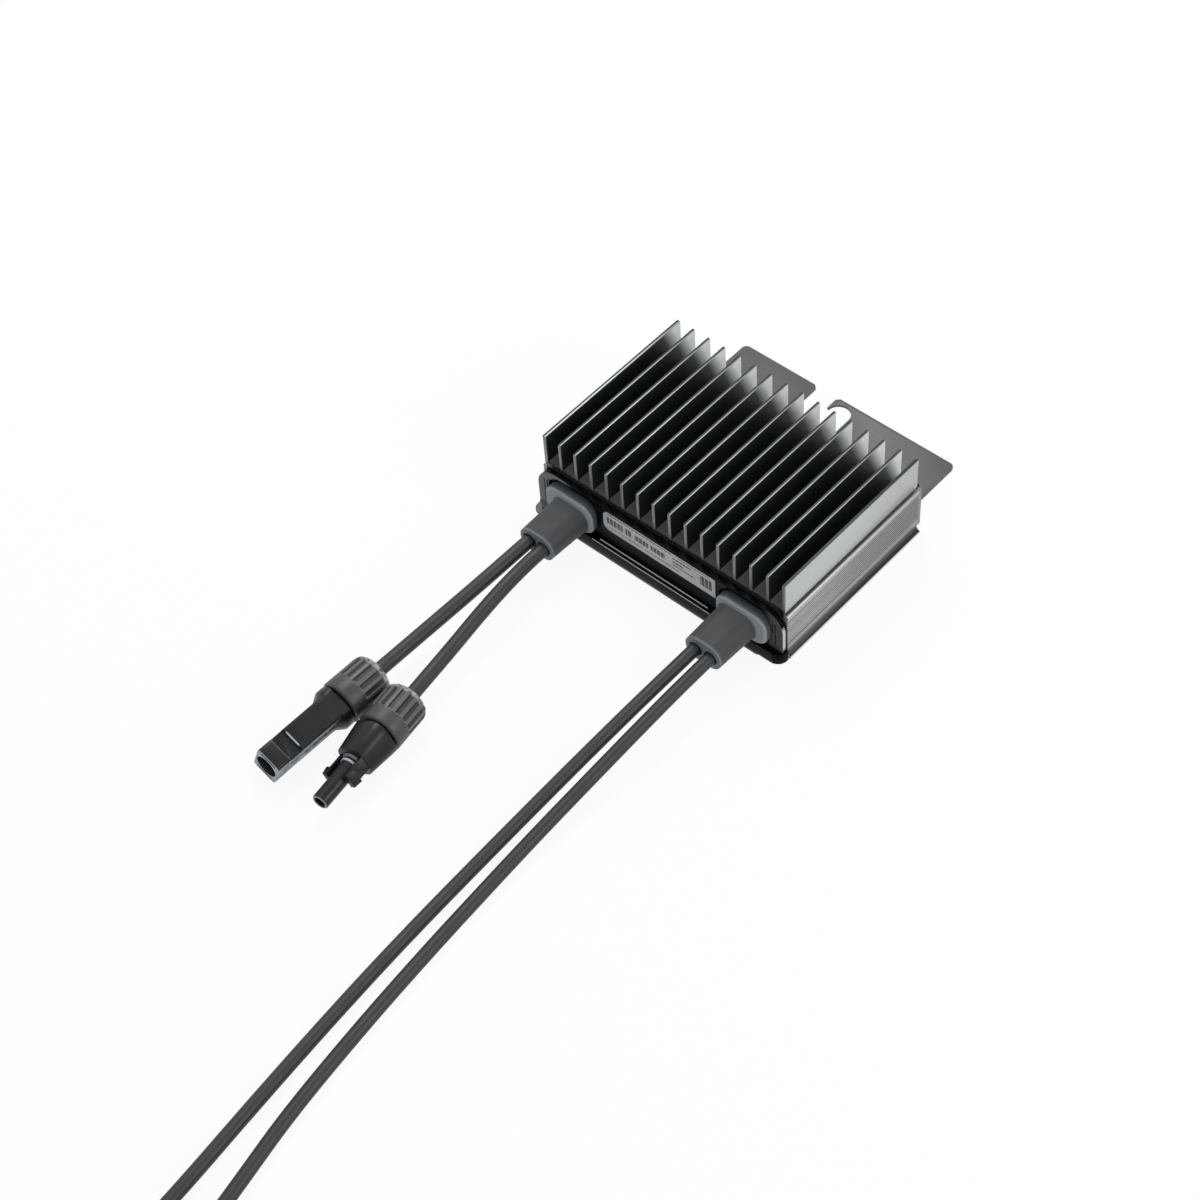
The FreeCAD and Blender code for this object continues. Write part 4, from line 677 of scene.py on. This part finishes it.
def paint_socket_light(nodes, base):
    """Painted light: a speckled painted sheen on one flank, painted highlights round the mouth and on the
    notch's walls, and painted shade in the notch itself.
    """
    along, across, up = nodes.axes()
    half_width, half_height = ARM_WIDTH / 2, ARM_HEIGHT / 2
    pale = shade(base, 36)
    # A speckled painted sheen on one flank
    flank = nodes.both(nodes.span(across, half_width - 0.2, half_width - 0.05), nodes.within(up, -2.6, 6.4),
                       nodes.span(along, 29, 35))
    speckle = nodes.span(nodes.noise(700, 3.0), 0.4, 0.6, 0.3, 1.0)
    nodes.coat(nodes.both(flank, speckle), pale)
    # Painted highlight round the mouth
    rim = nodes.both(nodes.span(along, ARM_END - 0.3, ARM_END - 0.1),
                     nodes.span(nodes.radius(), MOUTH_RADIUS + 0.05, MOUTH_RADIUS + 0.15))
    nodes.coat(rim, pale, 0.9)
    # Painted highlights on the notch's back and front walls
    near_top = nodes.span(nodes.away(up), half_height - 0.65, half_height - 0.25)
    back_wall = nodes.both(nodes.within(along, NOTCH[0] - 0.6, NOTCH[0] + 0.05, 0.15), near_top,
                           nodes.within(across, -3.7, 3.3, 1))
    nodes.coat(back_wall, shade(base, 50))
    front_wall = nodes.both(nodes.within(along, NOTCH[1] - 0.05, NOTCH[1] + 0.35, 0.15), near_top)
    nodes.coat(front_wall, pale, 0.3)
    # Painted shade in the notch
    notch = nodes.both(nodes.within(along, *NOTCH),
                       nodes.below(nodes.away(up), NOTCH_FLOOR + 0.1, NOTCH_FLOOR + 0.25),
                       nodes.below(nodes.away(across), half_width - 0.3, half_width - 0.15))
    nodes.coat(notch, shade(base, 0.6))


def paint_plug_light(nodes, base):
    """Painted highlights on the tube's end and on the collar at its root."""
    along, _, _ = nodes.axes()
    # Painted highlight on the tube's end
    nodes.coat(nodes.span(along, PLUG_END - 0.35, PLUG_END - 0.15), shade(base, 36), 0.6)
    # Painted highlight on the collar
    collar = nodes.both(nodes.within(along, *ROOT_RING), nodes.within(nodes.radius(), 3.7, 4.6))
    nodes.coat(collar, shade(base, 50))


def make_housing_finish(colours, kind):
    """Smooth moulding, with the painted light of a socket or a plug."""
    material = make_finish(f"connector_{kind}", colours.housing, 0.36, specular_ior_level=0.28)
    nodes = Nodes(material, own_place=True)
    drift = nodes.noise(120, 3.0)
    nodes.start(drift, colours.housing, 0.8, 1.3)
    paint_light = paint_socket_light if kind == "socket" else paint_plug_light
    paint_light(nodes, colours.housing)
    nodes.paint()
    nodes.polish(drift, 0.28, 0.4)
    nodes.bump(nodes.noise(2000, 2.0), 0.02, 0.4)
    return material


def give_node(node, material):
    """Put a finish on a node that keeps its own shape."""
    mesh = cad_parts[node].data
    mesh.materials.clear()
    mesh.materials.append(material)


# Pieces

class OPTIMIZER_OT_body(bpy.types.Operator):
    """Finish the extrusion with its edges broken, as they come from the saw and the tumbler"""
    bl_idname = "optimizer.body"
    bl_label = "Finned Body"

    def execute(self, context):
        piece = copy_node("finned_body", "heat_sink")
        round_edges(piece, context.scene.optimizer_sizes.metal_edge)
        dress(piece, "heat_sink", make_body_finish(context.scene.optimizer_colours))
        return {"FINISHED"}


class OPTIMIZER_OT_bracket(bpy.types.Operator):
    """Finish the sheet bracket with its edges broken, and its rivets"""
    bl_idname = "optimizer.bracket"
    bl_label = "Mounting Bracket"

    def execute(self, context):
        piece = copy_node("bracket_sheet", "mounting_bracket")
        round_edges(piece, context.scene.optimizer_sizes.metal_edge)
        finish = make_bracket_finish(context.scene.optimizer_colours)
        dress(piece, "mounting_bracket", finish)
        give_node("bracket_rivets", mottled("bright_rivet", (0.4, 0.4, 0.41), 0.35, 200, metallic=0.9))
        return {"FINISHED"}


class OPTIMIZER_OT_covers(bpy.types.Operator):
    """Finish the two moulded end covers, their gaskets and the label"""
    bl_idname = "optimizer.covers"
    bl_label = "End Covers"

    def execute(self, context):
        colours = context.scene.optimizer_colours
        finish = make_cover_finish(colours)
        for node in ("front_cover", "rear_cover"):
            piece = copy_node(f"{node}_moulding", node)
            round_edges(piece, context.scene.optimizer_sizes.moulded_edge, 3)
            dress(piece, node, finish)
        label = copy_node("label_film", "label_plate")
        round_edges(label, 0.1 * MM)
        dress(label, "label_plate", make_label_finish(colours))
        rubber = mottled("seal_rubber", (0.012, 0.012, 0.013), 0.6, 150)
        for node in ("front_gasket", "rear_gasket"):
            give_node(node, rubber)
        return {"FINISHED"}


class OPTIMIZER_OT_boots(bpy.types.Operator):
    """Finish the two rubber boots, with their moulded edges rounded"""
    bl_idname = "optimizer.boots"
    bl_label = "Rubber Boots"

    def execute(self, context):
        finish = make_boot_finish(context.scene.optimizer_colours)
        for name in ("left", "right"):
            piece = copy_node(f"{name}_boot_rubber", f"{name}_boot")
            round_edges(piece, 0.5 * MM, 3, 35)
            dress(piece, f"{name}_boot", finish)
        return {"FINISHED"}


# Leads

# A connector's place is the back of its nut, its heading and its roll in degrees.
INPUT_LEFT = (-51.48, -157.8, -90.9, -21.8)
INPUT_RIGHT = (-32.94, -158.6, -81.9, 30.0)
OUTPUT_LEFT = (-10.75, -473.65, 180.0, 0.0)
OUTPUT_RIGHT = (66.25, -413.2, -90.0, 0.0)


def on_axis(connector, distance):
    x, y, heading = connector[:3]
    angle = math.radians(heading)
    return (x + math.cos(angle) * distance, y + math.sin(angle) * distance, AXIS_HEIGHT)


def coil_points(centre, turn_radius, start, turns, direction, per_turn=16):
    """The turns of a coil two wide and two high, from outside below, inwards, up, and out again."""
    outer, inner = turn_radius + HALF_LEAD, turn_radius - HALF_LEAD
    swell = 1 / (0.5 + 0.5 * math.cos(math.pi / per_turn))

    def ramp(turn, begin, end):
        return min(1.0, max(0.0, (turn - begin) / (end - begin)))

    points = []
    for index in range(1, round(turns * per_turn)):
        turn = index / per_turn
        inward = ramp(turn, 0.83, 1.0) - ramp(turn, 2.4, 2.6)
        radius = (outer + (inner - outer) * inward) * swell
        height = FLOOR_LEVEL + (SECOND_LEVEL - FLOOR_LEVEL) * ramp(turn, 1.6, 1.8)
        angle = math.radians(start) + direction * turn * 2 * math.pi
        points.append((centre[0] + math.cos(angle) * radius, centre[1] + math.sin(angle) * radius, height))
    return points


LEFT_COIL = coil_points((19.25, -441.9), 29.0, 0, 3.25, -1)
RIGHT_COIL = coil_points((102.4, -383.2), 33.4, 180, 3.0, 1)

ROUTES = {
    "input_cable_left": [
        (-47.1, BOOT_END, EXIT_HEIGHT), (-47.1, -88, EXIT_HEIGHT), (-48.4, -110, 13.0), (-50.4, -131, 10.5),
        on_axis(INPUT_LEFT, -8), on_axis(INPUT_LEFT, SEAT)],
    "input_cable_right": [
        (-39.7, BOOT_END, EXIT_HEIGHT), (-39.7, -88, EXIT_HEIGHT), (-38.3, -110, 13.1), (-36.3, -131, 10.5),
        on_axis(INPUT_RIGHT, -8), on_axis(INPUT_RIGHT, SEAT)],
    "output_cable_left": [
        (39.7, BOOT_END, EXIT_HEIGHT), (39.7, -90, EXIT_HEIGHT), (38.9, -115, 12.9), (37.3, -144, 8.6),
        (36.3, -172, 5.0), (36.2, -202, FLOOR_LEVEL), (37.6, -236, FLOOR_LEVEL), (40.2, -274, FLOOR_LEVEL),
        (44.0, -316, FLOOR_LEVEL), (48.6, -360, FLOOR_LEVEL), (50.6, -396, FLOOR_LEVEL),
        (51.0, -422.6, FLOOR_LEVEL), (51.2, -436.0, FLOOR_LEVEL), *LEFT_COIL,
        (18.0, -473.65, 8.5), (8.0, -473.65, 9.2), (0.0, -473.65, AXIS_HEIGHT), on_axis(OUTPUT_LEFT, -4),
        on_axis(OUTPUT_LEFT, SEAT)],
    "output_cable_right": [
        (47.1, BOOT_END, EXIT_HEIGHT), (47.1, -90, EXIT_HEIGHT), (46.9, -115, 12.9), (45.9, -144, 8.6),
        (45.3, -172, 5.0), (46.0, -202, FLOOR_LEVEL), (48.2, -236, FLOOR_LEVEL), (51.6, -274, FLOOR_LEVEL),
        (56.2, -312, FLOOR_LEVEL), (61.8, -340, FLOOR_LEVEL), (66.0, -362.8, FLOOR_LEVEL),
        (66.1, -376.0, FLOOR_LEVEL), *RIGHT_COIL,
        (66.25, -384.5, 8.5), (66.25, -394.0, 9.2), (66.25, -402.0, AXIS_HEIGHT), on_axis(OUTPUT_RIGHT, -4),
        on_axis(OUTPUT_RIGHT, SEAT)],
}


def make_lead(name, points, diameter, material):
    """One lead: a smooth tube along its route."""
    curve = bpy.data.curves.new(name, "CURVE")
    curve.dimensions = "3D"
    curve.bevel_depth = diameter / 2
    curve.bevel_resolution = 7
    curve.resolution_u = 10
    curve.use_fill_caps = True
    spline = curve.splines.new("NURBS")
    spline.points.add(len(points) - 1)
    for target, point in zip(spline.points, points):
        target.co = (*(part * MM for part in point), 1)
    spline.order_u = 3
    spline.use_endpoint_u = True
    piece = bpy.data.objects.new(name, curve)
    bpy.context.scene.collection.objects.link(piece)
    curve.materials.append(material)
    return piece


class OPTIMIZER_OT_leads(bpy.types.Operator):
    """Lay the four leads: the short input pair, and the long output pair with its coils"""
    bl_idname = "optimizer.leads"
    bl_label = "Leads"

    def execute(self, context):
        sizes = context.scene.optimizer_sizes
        material = mottled("cable_jacket", context.scene.optimizer_colours.jacket, 0.5, 130, 0.18, 2200)
        for node, points in ROUTES.items():
            diameter = sizes.input_cable if node.startswith("input") else sizes.output_cable
            piece = make_lead(f"{node}_jacket", points, diameter, material)
            replaced = [node]
            if node.startswith("output"):
                side = node.rsplit("_", 1)[1]
                replaced += [f"output_coil_{side}", f"output_tail_{side}"]
            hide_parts(*replaced)
            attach(piece, "root")
        for node in ("left_lead_ends", "right_lead_ends"):
            give_node(node, material)
        return {"FINISHED"}


# Connectors, modelled along X from the back of the nut

CONNECTORS = {
    "input_socket": (INPUT_LEFT, 6.0), "input_plug": (INPUT_RIGHT, 6.0),
    "output_plug": (OUTPUT_LEFT, 5.5), "output_socket": (OUTPUT_RIGHT, 5.5),
}


def make_nut(name, cable):
    """A gland nut with a domed back, sixteen flutes that run out at both ends, and a smooth collar."""
    hole, cavity = cable / 2 + 0.35, TAIL_RADIUS + 0.25
    piece = make_turned(name, [
        (0, hole), (0, 6.2), (0.5, 7.3), (1.2, 8.5), (2.2, 9.15), (3.4, NUT_RADIUS), (FLUTE_END, NUT_RADIUS),
        (FLUTE_END + 0.8, NUT_RADIUS), (NUT_LENGTH - 0.7, NUT_RADIUS), (NUT_LENGTH, NUT_RADIUS - 0.7),
        (NUT_LENGTH, cavity), (2.4, cavity), (2.4, hole),
    ], FLUTES * 5)
    pitch = 360 / FLUTES
    edit(piece)

    def in_flute(centre, normal):
        radius = math.hypot(centre.y, centre.z)
        turn = math.degrees(math.atan2(centre.z, centre.y)) % pitch
        return radius > 7.0 * MM and 0.2 * MM < centre.x < FLUTE_END * MM and turn < pitch * 0.6 \
            and normal.dot(Vector((0, centre.y, centre.z))) > 0

    select_faces(piece, in_flute)
    bpy.ops.mesh.inset(thickness=0.25 * MM, depth=-0.8 * MM, use_even_offset=True)
    bpy.ops.object.mode_set(mode="OBJECT")
    round_edges(piece, 0.12 * MM, 2, 35, 35)
    return piece


def cut_bore(body, name, inner):
    """Cut the grommet's seat from the back, and on through the inner points of (x, radius) to the front."""
    profile = [(BACK_BORE_START, 0), (BACK_BORE_START, BACK_BORE_RADIUS), (BACK_BORE_END, BACK_BORE_RADIUS)]
    profile += inner
    boolean(body, make_turned(f"{name}_bore", profile), "DIFFERENCE")


def make_socket(name):
    """The flat-topped latch arm on its round shoulder, with two notches and the mouth for the plug's tube."""
    body = make_turned(name, [
        (TAIL_START, 0), (TAIL_START, TAIL_RADIUS), (TAIL_END, TAIL_RADIUS), (TAIL_END, 9.1),
        (ARM_START, 9.1), (30.1, 5.6), (30.1, 0)])
    for side in (-1, 1):
        flat = make_block(f"{name}_flat", (TAIL_END, 31), side * (ARM_HEIGHT / 2 + 2), 20, 4)
        boolean(body, flat, "DIFFERENCE")
    arm = make_block(f"{name}_arm", (TAIL_END + 0.02, ARM_END), 0, ARM_WIDTH, ARM_HEIGHT, 1.4)
    boolean(body, arm, "UNION")
    boolean(body, make_block(f"{name}_rail", (ARM_START + 0.02, 54.7), 0, 12.6, 4.2, 0.6, 3), "UNION")
    cut_bore(body, name, [
        (BACK_BORE_END, PIN_HOLE), (36, PIN_HOLE), (36, 3.7), (41.9, 3.7), (41.9, MOUTH_RADIUS),
        (60, MOUTH_RADIUS), (60, 0)])
    for side in (-1, 1):
        boolean(body, make_block(f"{name}_notch", NOTCH, side * (NOTCH_FLOOR + 2), 14, 4), "DIFFERENCE")
        boolean(body, make_block(f"{name}_slot", (51, 60), side * 6.075, 7.8, 1.15, 0.2, 2), "DIFFERENCE")
    round_edges(body, 0.22 * MM, 2, 35)
    return body


def make_plug(name):
    """The tapering body with the round tube, its seal seat and two latch prongs."""
    body = make_turned(name, [
        (TAIL_START, 0), (TAIL_START, TAIL_RADIUS), (TAIL_END, TAIL_RADIUS), (TAIL_END, 8.1), (22.4, 8.1),
        (22.4, 0)])
    front = make_bar(f"{name}_front", [
        (TAIL_END + 0.02, 0, 0, 17.1, 16.3), (24.0, 0, 0, 16.6, 15.8), (PLUG_FACE, 0, 0, 14.2, 13.4)], 5.5)
    boolean(body, front, "UNION")
    tube = make_turned(f"{name}_tube", [
        (PLUG_FACE - 1, 0), (PLUG_FACE - 1, TUBE_RADIUS), (PLUG_END - 0.5, TUBE_RADIUS),
        (PLUG_END, TUBE_RADIUS - 0.4), (PLUG_END, 0)])
    boolean(body, tube, "UNION")
    ring = make_turned(f"{name}_ring", [
        (ROOT_RING[0], 0), (ROOT_RING[0], 4.3), (ROOT_RING[1], 4.3), (ROOT_RING[1], 0)])
    boolean(body, ring, "UNION")
    cut_bore(body, name, [(BACK_BORE_END, 2.75), (47.3, 2.75), (47.3, 2.5), (58, 2.5), (58, 0)])
    for side in (-1, 1):
        prong = make_bar(f"{name}_prong", [
            (PLUG_FACE - 0.5, side * 5.9, 0, 1.4, 5.8), (41.85, side * 5.9, 0, 1.4, 5.8),
            (41.95, side * 6.8, 0, 3.2, 5.8), (45.6, side * 6.35, 0, 2.3, 5.8)])
        boolean(body, prong, "UNION")
    round_edges(body, 0.2 * MM, 2, 35)
    return body


class OPTIMIZER_OT_connectors(bpy.types.Operator):
    """Model the gland nuts, the two sockets and the two plugs of the leads"""
    bl_idname = "optimizer.connectors"
    bl_label = "Lead Connectors"

    def execute(self, context):
        colours = context.scene.optimizer_colours
        nut_finish = make_nut_finish(colours)
        housing_finishes = {kind: make_housing_finish(colours, kind) for kind in ("socket", "plug")}
        metal = mottled("tinned_contact", (0.55, 0.55, 0.56), 0.3, 300, metallic=0.95)
        rubber = mottled("grommet_rubber", (0.015, 0.015, 0.016), 0.6, 150)
        pale = mottled("pale_seal", (0.2, 0.2, 0.195), 0.5, 200, 0.08)
        for name, ((x, y, heading, roll), cable) in CONNECTORS.items():
            place = (x * MM, y * MM, AXIS_HEIGHT * MM)
            kind = name.rsplit("_", 1)[1]
            nut = lay(make_nut(f"{name}_nut_fluted", cable), place, heading, roll)
            dress(nut, f"{name}_gland_nut", nut_finish)
            shape = make_socket if kind == "socket" else make_plug
            housing = lay(shape(f"{name}_housing_moulded"), place, heading, roll)
            dress(housing, f"{name}_housing", housing_finishes[kind])
            give_node(f"{name}_contact", metal)
            give_node(f"{name}_grommet", rubber)
            if kind == "plug":
                give_node(f"{name}_seal", pale)
        return {"FINISHED"}


class OPTIMIZER_OT_inner_parts(bpy.types.Operator):
    """Give the base cover and what is sealed inside the body their finishes"""
    bl_idname = "optimizer.inner_parts"
    bl_label = "Inner Parts"

    def execute(self, context):
        finishes = {
            "base_cover": mottled("mill_aluminium", (0.35, 0.35, 0.36), 0.4, 80, metallic=0.85,
                                  stretch=(1, 0.1, 1)),
            "circuit_board": mottled("solder_mask", (0.02, 0.12, 0.04), 0.35, 120),
            "power_transistors": mottled("moulded_component", (0.015, 0.015, 0.016), 0.5, 200),
            "thermal_pad": mottled("soft_pad", (0.28, 0.3, 0.33), 0.75, 150),
            "inductor_core": mottled("ferrite", (0.03, 0.028, 0.026), 0.6, 250),
            "inductor_winding": mottled("enamelled_winding", (0.45, 0.16, 0.05), 0.3, 300, metallic=0.8),
            "filter_capacitors": mottled("capacitor_can", (0.5, 0.51, 0.52), 0.32, 200, metallic=0.8),
            "film_capacitor": mottled("film_case", (0.35, 0.05, 0.03), 0.45, 150),
            "control_chip": mottled("chip_case", (0.012, 0.012, 0.013), 0.5, 250),
            "lead_terminals": mottled("terminal_brass", (0.5, 0.33, 0.09), 0.35, 200, metallic=0.9),
            "potting_block": mottled("potting_resin", (0.02, 0.021, 0.023), 0.45, 90),
        }
        for node, finish in finishes.items():
            give_node(node, finish)
        return {"FINISHED"}


# Stage

def seen_share(tree):
    """1 for what is seen straight, mirrored or through glass, 0 for what only gives light."""
    path = tree.nodes.new("ShaderNodeLightPath")
    share = path.outputs["Is Camera Ray"]
    for kind in ("Is Glossy Ray", "Is Transmission Ray"):
        larger = tree.nodes.new("ShaderNodeMath")
        larger.operation = "MAXIMUM"
        tree.links.new(share, larger.inputs[0])
        tree.links.new(path.outputs[kind], larger.inputs[1])
        share = larger.outputs[0]
    return share


def make_floor_finish(colours):
    """Matt white paint, lifted where it is seen so that the shadow stays faint."""
    material = make_finish("floor_paint", colours.floor, 0.9)
    tree = material.node_tree
    glow = tree.nodes.new("ShaderNodeEmission")
    blend = tree.nodes.new("ShaderNodeMixShader")
    share = tree.nodes.new("ShaderNodeMath")
    share.operation = "MULTIPLY"
    share.inputs[1].default_value = FLOOR_GLOW
    tree.links.new(seen_share(tree), share.inputs[0])
    tree.links.new(share.outputs[0], blend.inputs["Fac"])
    tree.links.new(tree.nodes["Principled BSDF"].outputs["BSDF"], blend.inputs[1])
    tree.links.new(glow.outputs["Emission"], blend.inputs[2])
    tree.links.new(blend.outputs["Shader"], tree.nodes["Material Output"].inputs["Surface"])
    return material


def add_lamp(name, place, size, power, target=(0.0, -0.08, 0.0)):
    lamp = bpy.data.lights.new(name, "AREA")
    lamp.size = size
    lamp.energy = power
    item = bpy.data.objects.new(name, lamp)
    item.location = place
    item.rotation_euler = (Vector(target) - Vector(place)).to_track_quat("-Z", "Y").to_euler()
    bpy.context.scene.collection.objects.link(item)


class OPTIMIZER_OT_stage(bpy.types.Operator):
    """Set the pale floor, the soft lamps, the plain surroundings and the camera"""
    bl_idname = "optimizer.stage"
    bl_label = "Stage"

    def execute(self, context):
        colours = context.scene.optimizer_colours
        deselect()
        bpy.ops.mesh.primitive_plane_add(size=8, location=(0, 0, -0.05 * MM))
        floor = context.object
        floor.name = "pale_floor"
        bpy.ops.object.transform_apply(location=True, rotation=True, scale=True)
        floor.data.materials.append(make_floor_finish(colours))

        world = bpy.data.worlds.new("plain_surroundings")
        world.use_nodes = True
        tree = world.node_tree
        back = tree.nodes["Background"]
        level = tree.nodes.new("ShaderNodeMapRange")
        level.inputs["To Min"].default_value = LIGHT_LEVEL
        level.inputs["To Max"].default_value = 1.0
        tree.links.new(seen_share(tree), level.inputs["Value"])
        tree.links.new(level.outputs["Result"], back.inputs["Strength"])
        back.inputs["Color"].default_value = (1, 1, 1, 1)
        context.scene.world = world
        add_lamp("key_lamp", (-0.6, 0.5, 1.3), 0.7, 9)
        add_lamp("side_lamp", (1.2, 0.2, 0.7), 0.6, 5)

        camera = bpy.data.cameras.new("photo_camera")
        camera.lens = context.scene.optimizer_sizes.camera_lens
        camera.sensor_width = 36
        camera.clip_start = 0.05
        eye = bpy.data.objects.new("photo_camera", camera)
        turn = Euler((math.radians(90 - CAMERA_DIP), 0, math.radians(CAMERA_HEADING))).to_matrix()
        turn = turn @ Matrix.Rotation(math.radians(CAMERA_ROLL), 3, "Z")
        eye.matrix_world = Matrix.Translation(CAMERA_PLACE) @ turn.to_4x4()
        context.scene.collection.objects.link(eye)
        context.scene.camera = eye
        context.scene.view_settings.view_transform = "Standard"
        return {"FINISHED"}


class OPTIMIZER_PT_panel(bpy.types.Panel):
    """The optimizer's colours, sizes and pieces"""
    bl_label = "Power Optimizer"
    bl_idname = "OPTIMIZER_PT_panel"
    bl_space_type = "VIEW_3D"
    bl_region_type = "UI"
    bl_category = "Optimizer"

    def draw(self, context):
        layout = self.layout
        for group in (context.scene.optimizer_colours, context.scene.optimizer_sizes):
            for name in group.bl_rna.properties.keys():
                if name not in ("rna_type", "name"):
                    layout.prop(group, name)
        for operator in OPERATORS:
            layout.operator(operator.bl_idname)


OPERATORS = (OPTIMIZER_OT_body, OPTIMIZER_OT_bracket, OPTIMIZER_OT_covers, OPTIMIZER_OT_boots,
             OPTIMIZER_OT_connectors, OPTIMIZER_OT_leads, OPTIMIZER_OT_inner_parts, OPTIMIZER_OT_stage)
CLASSES = (OptimizerColours, OptimizerSizes, *OPERATORS, OPTIMIZER_PT_panel)


def register():
    for item in CLASSES:
        bpy.utils.register_class(item)
    bpy.types.Scene.optimizer_colours = PointerProperty(type=OptimizerColours)
    bpy.types.Scene.optimizer_sizes = PointerProperty(type=OptimizerSizes)


def unregister():
    del bpy.types.Scene.optimizer_sizes
    del bpy.types.Scene.optimizer_colours
    for item in reversed(CLASSES):
        bpy.utils.unregister_class(item)


def main():
    register()
    for step in ("body", "bracket", "covers", "boots", "connectors", "leads", "inner_parts", "stage"):
        getattr(bpy.ops.optimizer, step)()


if __name__ == "__main__":
    main()
